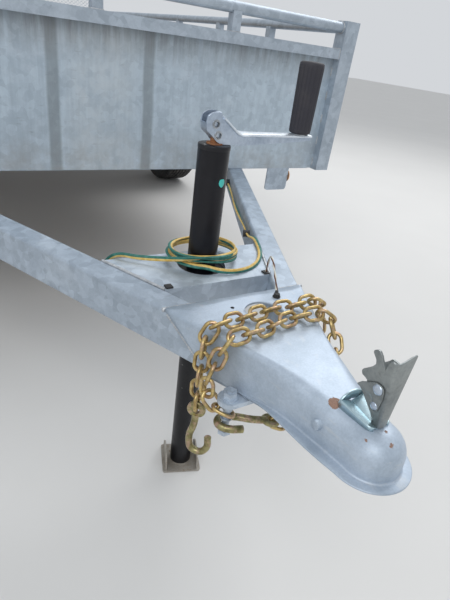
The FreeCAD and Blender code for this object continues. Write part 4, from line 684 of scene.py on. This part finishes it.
def camera():
    """The photograph's view: a place, then a turn to the right, a tilt down and a roll."""
    yaw, pitch, roll = (math.radians(a) for a in (34.23, 28.74, 8.21))
    level = math.cos(pitch)
    forward = np.array([math.sin(yaw) * level, math.cos(yaw) * level, -math.sin(pitch)])
    right = unit(np.cross(forward, UP))
    up = np.cross(right, forward)
    right, up = math.cos(roll) * right + math.sin(roll) * up, math.cos(roll) * up - math.sin(roll) * right
    lens = bpy.data.cameras.new("view")
    lens.lens = 27.46
    lens.sensor_width = 36.0
    lens.clip_start = 0.05
    bpy.context.scene.camera = add_object("view", lens, right, up, -forward, [-417.2, -281.6, 925.7])


camera()

# Places along the harness before and after its turns round the jack
LEAD_IN = [
    (451, 1090, 509), (440, 1064, 510), (416, 1012, 510), (384, 942, 508), (352, 875, 508), (320, 808, 510),
    (294, 753, 513), (269, 700, 516), (249, 656, 519), (225, 607, 522), (208, 572, 530), (194, 542, 542),
    (180, 512, 552), (168, 484, 553.5), (155, 454, 551.5), (134, 422, 551), (107, 395, 551), (75, 378, 551),
    (38, 374, 551.5), (6, 382, 555)]
LEAD_OUT = [
    (-20, 397, 577), (-48, 411, 572), (-73, 437, 563), (-98, 461, 557), (-122, 477, 555.5),
    (-144.6, 496.6, 556), (-159.6, 511.6, 543.7), (-168.2, 520.2, 522.3), (-168.2, 520.2, 488)]


def coil_turns():
    """Three loose turns round the jack, clockwise from above: (x, y) = centre + (a cos t, b sin t), each
    turn with its own centre and half widths a and b, and each lying over the one before."""
    turn = np.arange(48) / 16
    angle = -math.pi / 2 - 0.3 - TURN * turn
    at = wave(0, 3, 13)
    wide = np.interp(turn, at, [70, 74, 72, 70, 74, 68, 66, 72, 76, 70, 68, 66, 70])
    deep = np.interp(turn, at, [62, 66, 55, 58, 59, 66, 52, 57, 59, 58, 54, 57, 59])
    high = np.interp(turn, at, [557, 561, 560, 559, 567, 568, 566, 565, 576, 574, 571, 572, 578])
    return join(14 + wide * np.cos(angle), 454 + deep * np.sin(angle), high)


def harness():
    """Bonded pair of cores from the tongue to the plug, laid flat and slowly twisting."""
    route = np.concatenate([np.array(LEAD_IN, float), coil_turns(), np.array(LEAD_OUT, float)])
    path = even(smooth_line(route), 2.2)
    length = lengths(path)
    spin = 0.9 * np.sin(length / 61.0) + 0.7 * np.sin(length / 137.0 + 1.0) + 0.3
    rings, way = tube(path, 4.9, 14, spin, 0.5, 0.3)
    cord = Shell().solid(rings, way=way).piece("harness", CORES, sharp=0)
    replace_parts(cord, "harness_lead", "harness_coil")
    core = even(path[:16], 0.6)
    at = wave(0, 1, len(core))
    rib = (np.sin(60 * at) > 0.2) * (at > 0.2)
    sleeve = np.interp(at, [0, 0.12, 0.14, 1], [11, 11, 9.4, 6.2]) - 0.8 * rib
    Shell().solid(tube(core, sleeve, 24)[0]).piece("lead_boot", RUBBER, sharp=40)


def ground_wire():
    """The short earth wire that arches from its grommet to the coupler."""
    route = [(108, 362, 548.4), (109, 361, 570), (103, 351, 587), (92, 332, 594), (80, 308, 590),
             (72, 287, 574), (68, 273, 558)]
    path = even(smooth_line(route), 1.5)
    rings, way = tube(path, 2.4, 10, 0.13, 0.62, 0.3)
    cord = Shell().solid(rings, way=way).piece("earth_wire", WIRES, sharp=0)
    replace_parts(cord, "ground_wire")


harness()
ground_wire()


def islands(node):
    """Centres and axes of a node's loose parts: rows are the long, the wide and the thin axis."""
    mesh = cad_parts[node].data
    spots, ends = np.empty(3 * len(mesh.vertices)), np.empty(2 * len(mesh.edges), int)
    mesh.vertices.foreach_get("co", spots)
    mesh.edges.foreach_get("vertices", ends)
    spots = spots.reshape(-1, 3)
    same = np.unique(np.round(spots * 1e6), axis=0, return_inverse=True)[1].ravel()
    first, second = same[ends].reshape(-1, 2).T
    label, last = np.arange(len(spots)), None
    while last is None or (label != last).any():
        last = label.copy()
        np.minimum.at(label, first, last[second])
        np.minimum.at(label, second, last[first])
        label = label[label]
    label = label[same]
    centres, axes = [], []
    for part in np.unique(label):
        cloud = spots[label == part] * 1000 - APEX
        centres.append(cloud.mean(0))
        axes.append(np.linalg.svd(cloud - centres[-1], full_matrices=False)[2])
    axes = np.array(axes)
    axes[:, 2] = np.cross(axes[:, 0], axes[:, 1])
    return np.array(centres), axes


def links(node, name):
    """Round-wire links: a ring carried round a racetrack of two straights and two half circles, set
    on the centre and axes of each link of the model."""
    straight, arc, wire = 6.65, 10.65, 3.1
    share = wave(0, 1, 32, closed=True)[:, None] * (4 * straight + TURN * arc)
    half = 2 * straight + math.pi * arc
    lap = share % half
    angle = np.clip(lap - 2 * straight, 0, None) / arc
    ring = wave(0, TURN, 10, closed=True)
    reach = arc + wire * np.cos(ring)
    flip = np.where(share < half, 1.0, -1.0)
    u = flip * (straight - np.minimum(lap, 2 * straight) - reach * np.sin(angle))
    local = join(u, flip * reach * np.cos(angle), wire * np.sin(ring))
    spots, axes = islands(node)
    placed = np.einsum("rck,lkj->lrcj", local, axes) + spots[:, None, None]
    chain = Shell().grid(placed, around=True, along=True).piece(name, GOLD, sharp=0)
    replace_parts(chain, node)


links("safety_chain_left", "chain_left")
links("safety_chain_right", "chain_right")

SLOPE = math.tan(math.radians(25.4))  # of the tongue's sides
NOSE_Y, NECK_Y, TAIL_Y, PANEL_Z = -43, 165, 292.6, 550  # the coupler from its ball's dome to its rear edge
MIRROR = np.array([-1, 1, 1])
# Neck stations: y, corner half width at the top, its rounding, top, half width at the bottom, bottom, lip
NECK = [(NOSE_Y, 40, 33, 543, 41.5, 490, 57.8), (-20, 42, 32, 542.5, 44.5, 490, 62.5),
        (10, 46, 30, 543.5, 49, 489.5, 66.5), (40, 49.5, 26, 546, 53, 488.5, 68.5),
        (70, 54, 20, 549, 58, 486.5, 69.5), (100, 60, 14, PANEL_Z, 64, 482, 70.5),
        (130, 69, 10, PANEL_Z, 72, 475, 74.5), (NECK_Y, 82.8, 7, PANEL_Z, 83, 470, 83.8)]


def coupler_rows(at):
    """Half sections of the pressing at stations along Y: flat top, shoulder, side, fillet and lip."""
    top_half, turn, top, low_half, low, lip = between(NECK, at).T
    spine, corner, foot, edge = join(0, top), join(top_half, top), join(low_half, low), join(lip, low)
    flare = np.clip((lip - low_half) / 11, 0.06, 1)
    shoulder = bend(spine, corner, foot, turn, 10)
    fillet = bend(corner, foot, edge, 3.2 * flare, 6)
    hem = bend(foot, edge, edge - [0, 5], 1.6 * flare, 4)
    share = wave(0, 1, 5, closed=True)[:, None]
    flat = spine[:, None] * (1 - share) + shoulder[:, :1] * share
    share = wave(0, 1, 5)[1:-1, None]
    wall = shoulder[:, -1:] * (1 - share) + fillet[:, :1] * share
    tail = (edge - join(0, 0.6 + 1.6 * flare))[:, None]
    return flat, np.concatenate([shoulder, wall, fillet, hem, tail], 1)


def coupler():
    """The pressed coupler: half sections carried forward along the neck, round the ball's dome and back;
    behind the neck the sides follow the tongue tubes, and the top is a panel with a round hole."""
    shell = Shell()
    at = wave(NECK_Y, NOSE_Y, 34)
    half = np.concatenate(coupler_rows(at), 1)
    along = join(half[..., 0], at[:, None], half[..., 1])
    turn = wave(math.pi, TURN, 41)[1:-1, None]
    out, level = half[-1].T
    lip = out - np.clip(out - 50, 0, None) * (0.37 * np.sin(turn - math.pi))
    front = join(lip * np.cos(turn), NOSE_Y + lip * np.sin(turn), level)
    shell.grid(np.concatenate([along * MIRROR, front, along[::-1]]))
    at = wave(NECK_Y, TAIL_Y, 12)[:, None]
    out, level = coupler_rows(np.array([165.0]))[1][0].T
    reach = at * SLOPE + 4.5 + (out - 82.85)
    rear = TAIL_Y - 1.12 * (PANEL_Z - level).clip(0)
    y = NECK_Y + (at - NECK_Y) * ((rear - NECK_Y) / 127.6)
    skirt = join(reach + (y - at) * SLOPE, y, level)
    shell.grid(skirt).grid(skirt * MIRROR)
    cross = np.linspace(skirt[-1, 0], skirt[-1, 0] * MIRROR, 26)[1:-1]
    neck = along[0, :6]
    edge = np.concatenate([skirt[::-1, 0], neck[4::-1], neck[1:5] * MIRROR, skirt[:, 0] * MIRROR, cross[::-1]])
    centre = np.array([14.0, 230.0, PANEL_Z])
    inner = centre + unit(edge - centre) * 33
    share = np.array([0, 0.06, 0.3, 0.65, 1])[:, None, None]
    shell.grid(inner + (edge - inner) * share, around=True)
    pressing = shell.piece("coupler", COUPLER, merge=0.05, sharp=50)
    thicken(pressing, 4.0)
    pins = Shell()
    profile = [(7.6, 30), (7.6, 51), (7.0, 52.6), (5.0, 53.4), (0.4, 53.6)]
    for side in (1, -1):
        pins.grid(lathe(np.array(profile) * [1, side], (0, 11, 517), "X", 32), around=True)
    pins.piece("coupler_rivets", COUPLER)
    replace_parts(pressing, "coupler_body")
    # a dark disc on the panel in place of the small hole: painted shade
    hole = lathe([(3.4, 0), (3.2, 0.35), (0.1, 0.3)], (-33, 258, PANEL_Z), "Z", 20)
    Shell().grid(hole, around=True).piece("coupler_hole_painted_shade", SHADE)


def folded(path, top, low, thick):
    """A sheet folded along a path in plan, between two heights at each point of the path. Its section
    has eased edges: each row is a shift across the sheet, the top or the low edge, and a rise."""
    run = unit(np.gradient(path, axis=0))
    out = join(run[:, 1], -run[:, 0])
    ease = 0.35 * thick
    rows = []
    for shift, level in ((0.5, low), (0.5, top - ease), (0.15, top), (-0.15, top), (-0.5, top - ease),
                         (-0.5, low), (-0.15, low - ease), (0.15, low - ease)):
        rows.append(join(*(path + out * shift * thick).T, level))
    return np.stack(rows, 1)


def taper(points):
    """The latch lever's points, drawn together downwards."""
    points[..., 0] *= np.interp(points[..., 2], [545, 650], [0.42, 1.08])
    return points


def latch():
    """Lever folded to a U over a V-shaped trough with an arched rear end. Each cheek is a band between
    a front edge and a hooked rear edge, y = f(z); the whole lever narrows downwards."""
    lever = Shell()
    near = np.concatenate([wave(546, 630, 58), wave(631, 647.6, 16)])
    far = wave(546, 626, 56)
    rear_edge = np.array([
        (546, -37), (560, -28), (572, -17), (580, -9), (585, -2), (588, -5), (593, -11), (597, -13.5),
        (600, -13), (601.6, -4.5), (606, -2.5), (610, -4.3), (615, -9.5), (622, -16), (628, -19.7),
        (634, -18.5), (641, -12.5), (644, -13), (647.6, -18)])
    front_edge = np.array([(546, -34.2), (629, -34.2), (631, -33), (636, -29.5), (643, -25.5), (646, -23),
                           (647.6, -20.5)])
    ease = np.array([0, 0.5, -0.5, 0, 0, -0.5, 0.5, 0])
    across = np.array([1.0, 1.5, 1.5, 1.0, -1.0, -1.5, -1.5, -1.0])
    for side, z in ((-1, near), (1, far)):
        rear = np.interp(z, *rear_edge.T)
        front = np.minimum(np.interp(z, *front_edge.T), rear - 3)
        ends = join(*[front] * 2, *[rear] * 4, *[front] * 2) + ease
        lever.solid(taper(join(side * (16.5 - across), ends, z[:, None])))
    arc = bend(np.array([-16.5, 20.0]), np.array([-16.5, -44.5]), np.array([0, -45.5]), 3.0, 9)
    flank, face = join(-16.5, wave(-33.9, -40.9, 8)), join(wave(-12, 0, 8), wave(-44.9, -45.5, 8))
    path = np.concatenate([flank, arc, face])
    path = np.concatenate([path, path[-2::-1] * [-1, 1]])
    top = np.interp(lengths(path), [0, 2, 4, 7, 11, 15, 24, 34, 40, 43, 46, 53],
                    [629, 638, 644, 646.8, 645.5, 644, 646.5, 649.6, 650, 647, 640, 622])
    lever.solid(taper(folded(path, top, 546, 3.0)))
    plate = rounded([(-1, 584.5, 1), (-8, 593.5, 6), (-28, 607, 5), (-41, 608, 7), (-42, 590, 8),
                     (-38, 566, 4), (-33, 566, 3), (-27, 583, 8)], 6)
    lever.solid(taper(prism(plate, 18.2, 21.0, "YZ", 0.9)) * MIRROR)
    lever = lever.piece("latch_lever", LATCH, sharp=32)
    at = wave(7, -44, 30)[:, None]
    wide = np.interp(at, [-44, -41, -36, 7], [13.0, 16.5, 18.0, 22.5])
    brim = np.interp(at, [-44, 7], [547.0, 552.5])
    crease = np.interp(at, [-44, 7], [543.4, 544.6])
    over = np.array([-1.0, -1.0, -0.96, -0.5, -0.06, 0, 0.06, 0.5, 0.96, 1.0, 1.0])
    drop = np.array([-14.5, -1.5, 0.0, -4.6, -9.4, -10.6, -9.4, -4.6, 0.0, -1.5, -14.5]) / 10.6
    trough = Shell().grid(join(wide * over + 0.12 * (at - 7) * (1 - np.abs(over)), at,
                               brim + drop * (brim - crease)))
    a = wave(0, math.pi, 25)
    trough.grid(np.stack([join(r * np.cos(a), y, 547 + r * np.sin(a) * 0.66)
                          for r, y in ((22.5, 6.0), (22.5, 8.4), (19.5, 9.4), (16.0, 9.4), (2.0, 9.0))]))
    # the trough's pale finish is a painted highlight
    thicken(trough.piece("latch_trough", TROUGH_PAINTED_HIGHLIGHT, sharp=30, merge=0.02), 2.0, 0.0)
    rivets = Shell()
    for x, z, size in ((-16.6, 600, 7.0), (-12.6, 574, 5.4), (14.4, 600, 6.4), (11.4, 574, 5.4)):
        rivets.grid(domes([(x, -33, z)], size, math.copysign(2.8, x), "X"), around=True)
    rivets.piece("latch_rivets", BRIGHT)
    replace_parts(lever, "coupler_latch")


def crank():
    """Folded channel that runs from two round cheeks over the jack down to a long arm: sections across
    it are inverted U shapes whose top and lower edges follow two curves. At the nose the web is left
    out, so that the cheeks stand free with a slot between them. A rolled strip covers the web; its
    paler finish is a painted highlight."""
    x = np.concatenate([-26 + 26 * (1 - np.cos(wave(0, math.pi / 2, 14))), [2.0, 2.6], wave(4, 206, 62)])
    top = between([(-26, 812), (-24.5, 820), (-20, 826), (-13, 829.5), (-5, 830.5), (3, 829.5), (10, 825.5),
                   (28, 811.5), (44, 800), (53, 797), (68, 796.3), (120, 796.3), (170, 796.6),
                   (206, 797)], x)[:, 0]
    low = between([(-26, 811), (-24.5, 803), (-20, 797), (-11, 790), (-4, 783), (5, 779), (25, 777.6),
                   (45, 776.6), (60, 777.4), (100, 780), (150, 783.6), (206, 788)], x)[:, 0]
    wide = np.interp(x, [-26, -20, 40, 206], [11, 12, 12, 9.5])
    fold = np.interp(x, [2, 2.6, 30, 60, 120, 206], [1.4, 6.5, 7, 6, 4.5, 3.5])
    fold = np.minimum(fold, (top - low) * 0.36)
    tilt = np.interp(x, [0, 8, 36, 64], [0, 5.5, 5, 0])
    slot = x < 2.5
    cheek = wide - 3.4

    def sunk(line, shift):
        """A line beside the slot, moved a little and, along the slot, down to the lower edge."""
        return join(line[:, 0] + shift, line[:, 1] + (low + 2 - line[:, 1]) * slot)

    near, far, foot_near, foot_far = join(-wide, top - tilt), join(wide, top), join(-wide, low), join(wide, low)
    arc, back = bend(foot_near, near, far, fold, 6), bend(near, far, foot_far, fold, 6)
    gap = join(np.where(slot, -cheek, arc[:, -1, 0] + 0.01), arc[:, -1, 1])
    edge = join(np.where(slot, cheek, back[:, 0, 0] - 0.01), back[:, 0, 1])
    inside = np.stack([gap, sunk(gap, 0.02), sunk(edge, -0.02), edge], 1)
    outer = np.concatenate([foot_near[:, None], arc, inside, back, foot_far[:, None]], 1)
    middle = join(0, (top + low) / 2)[:, None]
    shrink = join((wide - 3) / wide, np.clip((top - low - 6) / (top - low), 0.05, 1))[:, None]
    inner = (outer - middle) * shrink + middle
    inner[slot, :, 1] = low[slot, None] + 0.5
    inner[:, [0, -1], 1] = low[:, None] + 0.01
    ring = np.concatenate([outer, inner[:, ::-1]], 1)
    body = Shell().solid(join(x[:, None], JACK_Y + ring[..., 0], ring[..., 1])).piece("crank", BRIGHT, sharp=30)
    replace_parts(body, "jack_crank")
    web = x > 4.5
    run = unit(join(np.gradient(x[web]), np.gradient(top[web])))[:, None]
    x, high, wide, tilt = (part[web][:, None] for part in (x, top, wide, tilt))
    side = np.array([-1, -1, -1, -1, 1, 1, 1, -1])
    reach = np.array([-3.0, -3.7, -3.0, -1.4, 1.0, 0.5, 0.5, -1.0])
    lift = np.array([-3.0, -1.4, 0.3, 0.9, 0.9, 0.3, -2.6, -3.6])
    over = side * wide + reach
    lean = tilt * (wide - np.clip(over, -wide, wide)) / (2 * wide)
    strip = join(x - run[..., 1] * lift, JACK_Y + over, high + run[..., 0] * lift - lean)
    # the strip's near-white finish is a painted highlight
    Shell().solid(strip).piece("crank_web", ZINC_PAINTED_HIGHLIGHT, sharp=50)
    bolts = Shell()
    for way in (-1, 1):
        washer = np.array([(7.6, 0), (7.4, 1.0), (4, 1.2)]) * [1, way]
        for spot in ((-8, JACK_Y + way * 12, 811), (-2, JACK_Y + way * 12, 793)):
            bolts.grid(hexagons([spot], 10, 4.2 * way, "Y", 0.3), around=True)
            bolts.grid(lathe(washer, spot, "Y", 24), around=True)
    bolts.grid(lathe([(6, 786), (6, 805), (13, 797), (13, 799), (6, 799.2)], (GRIP_X, JACK_Y, 0)), around=True)
    bolts.piece("crank_bolts", BOLT)
    collar = Shell()
    for profile in ([(8.2, 770), (8.2, 798)], [(14.5, 776.4), (15, 777.2), (14.6, 779.4), (8.2, 779.8)]):
        collar.grid(lathe(profile, (0, JACK_Y, 0)), around=True)
    collar.piece("crank_collar", RUSTY)


def grip():
    """Grip turned about its stud, with lengthwise grooves: radius times 1 - 0.055 |sin 8a| ^ 5."""
    z = np.concatenate([[798.8, 799.2, 801], wave(803, 916, 40), [919, 921.3, 922.2, 922.3]])[:, None]
    a = wave(0, TURN, 144, closed=True)
    groove = 0.055 * np.abs(np.sin(8 * a)) ** 5 * np.clip((z - 803) / 5, 0, 1) * np.clip((915 - z) / 5, 0, 1)
    r = np.interp(z, [798.8, 801, 804, 914, 919, 921.5, 922.3], [15, 19.6, 20.6, 22.5, 21.8, 18, 0.5])
    r = r * (1 - groove)
    points = join(GRIP_X + r * np.cos(a), JACK_Y + r * np.sin(a), z)
    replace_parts(Shell().solid(points).piece("grip", GRIP, sharp=60), "jack_grip")


def jack_details():
    """Cap rim and paint dot on the jack."""
    rim = lathe([(28.5, 769), (28.95, 769.3), (29.1, 770), (29.1, 774.6), (28.4, 776.4), (26.8, 777.0),
                 (14, 777.1)], (0, JACK_Y, 0), "Z", 72)
    Shell().grid(rim, around=True).piece("jack_cap", CAP)
    a = wave(0, TURN, 28, closed=True)
    share = np.array([0, 0.6, 0.92, 1.0])[:, None]
    turn = -math.pi / 2 + 0.27 + share * 0.24 * np.cos(a)
    lift = 28.65 + np.array([0.5, 0.5, 0.35, 0])[:, None]
    height = 715.5 + 7.4 * share * np.sin(a) * (1 + 0.12 * np.sin(3 * a))
    dot = join(lift * np.cos(turn), JACK_Y + lift * np.sin(turn), height)
    Shell().grid(dot, around=True).piece("paint_dot", TEAL, sharp=0)


def boards():
    """Planks with eased edges: a rounded section per plank carried along Y, and two screws at each
    crossmember."""
    count, width, thick, gap, inside, base = 10, 164.5, 38, 3.0, 839.0, 606
    left = -inside + gap + np.arange(count) * (width + gap)
    outline = rounded([(0, 0, 2), (width, 0, 2), (width, thick, 4), (0, thick, 4)], 4)
    y = np.array([1128, 1129.5, 1600, 2600, 3600, 4122.5, 4124])[:, None]
    draw = np.array([1.5, 0, 0, 0, 0, 0, 1.5])[:, None, None]
    section = outline - np.sign(outline - [width / 2, thick / 2]) * draw
    points = join(left[:, None, None] + section[..., 0], y, base + section[..., 1])
    tone = join((np.arange(count) * 0.618) % 1, 0, 0)[:, None, None]
    planks = Shell().solid(points, way=tone).piece("planks", WOOD, sharp=30)
    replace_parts(planks, "deck_boards")
    edge, over, cross = np.meshgrid(left, [28.0, 136.5], 1152 + np.arange(8) * 371.4, indexing="ij")
    screws = domes(join(edge + over, cross, base + thick - 0.4), 5.5, 0.9, steps=10, rows=3)
    Shell().grid(screws, around=True).piece("plank_screws", BOLT)


def box(u0, u1, v0, v1):
    """Outline of a rectangle."""
    return [(u0, v0), (u1, v0), (u1, v1), (u0, v1)]


def mesh_screen():
    """Expanded mesh: strands that zigzag between their neighbours, z = row + 5.5 times a trapezoid wave,
    each twisted a little out of the plane, in a flat border."""
    low, high, rows, step = 596.0, 1773.0, 98, 15.5
    column = np.arange(-57, 58)
    x = (column[:, None] * step + [-4.0, 4.0]).ravel()
    row = np.arange(rows)[:, None]
    spread = (high - low) / (rows - 1)
    sign = np.repeat(np.where(column % 2, 1.0, -1.0), 2) * np.where(row % 2, 1, -1)
    centre = join(x, 4184.9 - 0.5 * sign, low + row * spread + (spread / 2 - 0.6) * sign)
    corner = np.array([(0, -0.9, -1.4), (0, 0.9, -0.9), (0, 0.9, 1.4), (0, -0.9, 0.9)])
    strands = Shell().grid(centre[:, :, None] + corner, around=True)
    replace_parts(strands.piece("mesh_strands", RAIL, "gate", sharp=0), "gate_mesh")
    border = Shell()
    for sides in ((-903, -878, 577, 1792), (878, 903, 577, 1792), (-878, 878, 577, 600),
                  (-878, 878, 1769, 1792)):
        border.solid(prism(box(*sides), 4183.1, 4186.8, "XZ", 0.5))
    border.piece("mesh_border", RAIL, "gate")


def tyres():
    """Tyre: a profile (radius, width) turned about the axle. The tread's radius drops by 8 mm in the
    grooves between its ribs, and by each rib's own depth at notches that repeat round the tyre."""
    flank = np.array([
        (341.5, 78), (336, 86), (326, 93.5), (312, 98.5), (300, 101), (298, 101.8), (294, 101.8),
        (292, 101.6), (276, 102.3), (262, 102.4), (248, 100), (240, 97.6), (238, 98.4), (230, 96.0),
        (228, 94), (214, 84), (208, 76), (196, 75.6), (191.2, 75.6)])
    across = np.array([0, 7, 8.5, 13.5, 15, 31, 32.5, 37.5, 39, 53, 54.5, 58.5, 60, 70])
    sunk = np.array([0, 0, 1, 1, 0, 0, 1, 1, 0, 0, 1, 1, 0, 0.0])[:, None]
    rib = np.array([0, 0, 0, 0, 1, 1, 1, 1, 2, 2, 2, 2, 3, 3])
    depth = np.array([0, 4.5, 4.5, 6.5])[rib][:, None]
    steps = 64 * 4
    a = wave(0, TURN, steps, closed=True)
    phase = np.arange(steps) % 4
    notch = np.stack([0 * phase, phase == 1, phase == 3, phase < 2]).astype(float)
    crown = 344.3 - (across / 70) ** 2 * 1.6
    tread = crown[:, None] - 8.0 * sunk - (1 - sunk) * notch[rib] * depth
    lugs = np.array([6.0, 3.0] + [0.0] * (len(flank) - 2))[:, None]
    side = flank[:, :1] - lugs * notch[3]
    radius = np.concatenate([side[::-1], tread[:0:-1], tread, side])
    width = np.concatenate([-flank[::-1, 1], -across[:0:-1], across, flank[:, 1]])[:, None]
    worn = np.concatenate([0 * flank[:, 1:], 1 - sunk[:0:-1], 1 - sunk, 0 * flank[:, 1:]])
    valve = np.array([(0.5, 0), (3.6, 0.4), (3.8, 12), (5.0, 13), (5.4, 26), (3.4, 30), (3.2, 40), (0.5, 41)])
    for side, name in ((1, "right"), (-1, "left")):
        points = join(side * 1071 + width, AXLE_Y + radius * np.cos(a), AXLE_Z + radius * np.sin(a))
        tyre = Shell().grid(points, around=True, way=join(0, worn, 0 * a))
        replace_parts(tyre.piece("tread_" + name, TYRE, "wheel_" + name, sharp=32), "tyre_" + name)
        stem = lathe(valve * [1, side], (side * 1075, AXLE_Y, AXLE_Z + 158), "X", 20)
        Shell().grid(stem, around=True).piece("valve_" + name, RUBBER, "wheel_" + name)


def welds():
    """Weld runs along the joints of the tongue, the plate, the posts and the rails."""
    shell = Shell()

    def bead(start, end, radius=2.4):
        """A tube from start to end whose radius ripples every few millimetres."""
        path = even([start, end], 1.3)
        length = np.arange(len(path)) * 1.3
        size = radius * (1 + 0.13 * np.sin(length * 1.35) + 0.07 * np.sin(length * 0.31))
        shell.solid(tube(path, size, 8)[0])

    def inner(y):
        """Half the clear width between the tongue's tubes."""
        return y * SLOPE - 56.5

    for s in (1, -1):
        bead((s * inner(356), 356, 546.2), (s * inner(496), 496, 546.2), 3.0)
        bead((s * (inner(497) - 1), 498, 543), (s * (inner(497) - 1), 498, 486), 3.0)
        bead((s * 143.6, 293.6, 546.5), (s * 84, 293.6, 546.5), 3.4)
        bead((s * (286 * SLOPE + 1.5), 286, 542), (s * (214 * SLOPE + 1.5), 214, 478), 3.2)
        x = s * 858.5
        bead((x, 1101, 937), (x, 1101, 967), 2.8)
        for z in (CHORD_TOP, 935.6):
            bead((x, 1102 if z == CHORD_TOP else 1101, z), (x, 1143, z), 2.8)
        for z in (560, 640, 720, 800, 880):
            bead((x, 1124, z), (x, 1124, z + 28), 2.6)
        for y in (1101, 1124):
            bead((s * 858, y, 546), (s * 858, y, 548), 2.6)
    a = wave(0, TURN, 41)
    for s in (-1, 1):
        ring = join(s * 859 - s * 0.6, PIPE_Y + 17.2 * np.cos(a), PIPE_Z + 17.2 * np.sin(a))
        shell.solid(tube(even(ring, 2.0), 2.4, 7)[0])
    for x in (-426, 0, 426):
        for y in (1107.5, 1137.5):
            bead((x - 15, y, CHORD_TOP), (x + 15, y, CHORD_TOP))
        for d in (-15, 15):
            bead((x + d, 1108, CHORD_TOP), (x + d, 1137, CHORD_TOP))
            bead((x + d, PIPE_Y - 11, 1022), (x + d, PIPE_Y + 11, 1022), 2.2)
    stakes = (1587, 2028, 2500, 3396, 3775)
    for s in (1, -1):
        for y in sorted((*stakes, AXLE_Y)):
            for d in (-15, 15):
                bead((s * 874, y + d, CHORD_TOP), (s * 904, y + d, CHORD_TOP))
                bead((s * (889 + d), y - 15, CHORD_TOP), (s * (889 + d), y + 15, CHORD_TOP))
        for y in stakes:
            for d in (-30.5, 30.5):
                for z in (575, 690, 805, 900):
                    bead((s * 891.8, y + d, z), (s * 891.8, y + d, z + 26))
    shell.piece("weld_runs", WELD, sharp=0)


def lamp_details():
    """Rubber rims round the tail lamps, and bases under the small lamps."""
    rims = Shell()
    rim = [(49.6, -0.5), (49.9, 7), (48.6, 10), (45.4, 10.4), (44.2, 9)]
    base = np.array([(27.6, -0.3), (27.6, 4.6), (25.6, 6.4)])
    for s in (1, -1):
        rims.grid(lathe(rim, (s * 804, 4175, 494), "Y", 64), around=True)
        for place in ((s * 750, 1152, 512), (s * 859, 4150, 494)):
            rims.grid(lathe(base * [1, s], place, "X", 48), around=True)
    rims.piece("lamp_rims", RUBBER)


def tapes():
    """Strips of reflecting tape on the side sheets and along the rear sill."""
    strips = Shell()
    for s in (1, -1):
        for start, end in ((1160, 1552), (1622, 1993), (3436, 3740), (3810, 4110)):
            strips.solid(prism(box(start, end, 580, 630), *sorted((s * 891.1, s * 891.8)), "YZ", 0.2))
        strips.solid(prism(box(*sorted((s * 180, s * 740)), 590, 640), 4175.1, 4175.8, "XZ", 0.2))
    strips.piece("tape_strips", TAPE)


coupler()
latch()
crank()
grip()
jack_details()
boards()
mesh_screen()
tyres()
welds()
lamp_details()
tapes()


def stage():
    """A pale floor, an even world and two soft lamps."""
    floor = Finish("pale_floor")
    colour = floor.blend(floor.noise(1.2, 5.0, 0.6), (0.66, 0.655, 0.64), (0.72, 0.715, 0.70))
    far = np.array([-30000, 30000])
    Shell().grid(join(far[:, None], far, -0.5)).piece("floor", floor.close(colour, 0.8))
    world = bpy.data.worlds.new("studio")
    bpy.context.scene.world = world
    world.use_nodes = True
    nodes = world.node_tree.nodes
    nodes.clear()
    out = nodes.new("ShaderNodeOutputWorld")
    shine = nodes.new("ShaderNodeBackground")
    shine.inputs["Color"].default_value = (0.93, 0.96, 1.0, 1.0)
    shine.inputs["Strength"].default_value = 0.7
    world.node_tree.links.new(shine.outputs[0], out.inputs[0])
    for place, aim, size, power in (((-2600, -2200, 4200), (100, 400, 500), 3.2, 80),
                                    ((3200, 2600, 4600), (0, 1500, 500), 4.0, 130)):
        lamp = bpy.data.lights.new("softbox", "AREA")
        lamp.shape = "DISK"
        lamp.size = size
        lamp.energy = power
        back = unit(metres(place) - metres(aim))
        right = unit(np.cross(UP, back))
        add_object("softbox", lamp, right, np.cross(back, right), back, place)


stage()
bpy.context.scene.view_settings.view_transform = "Standard"
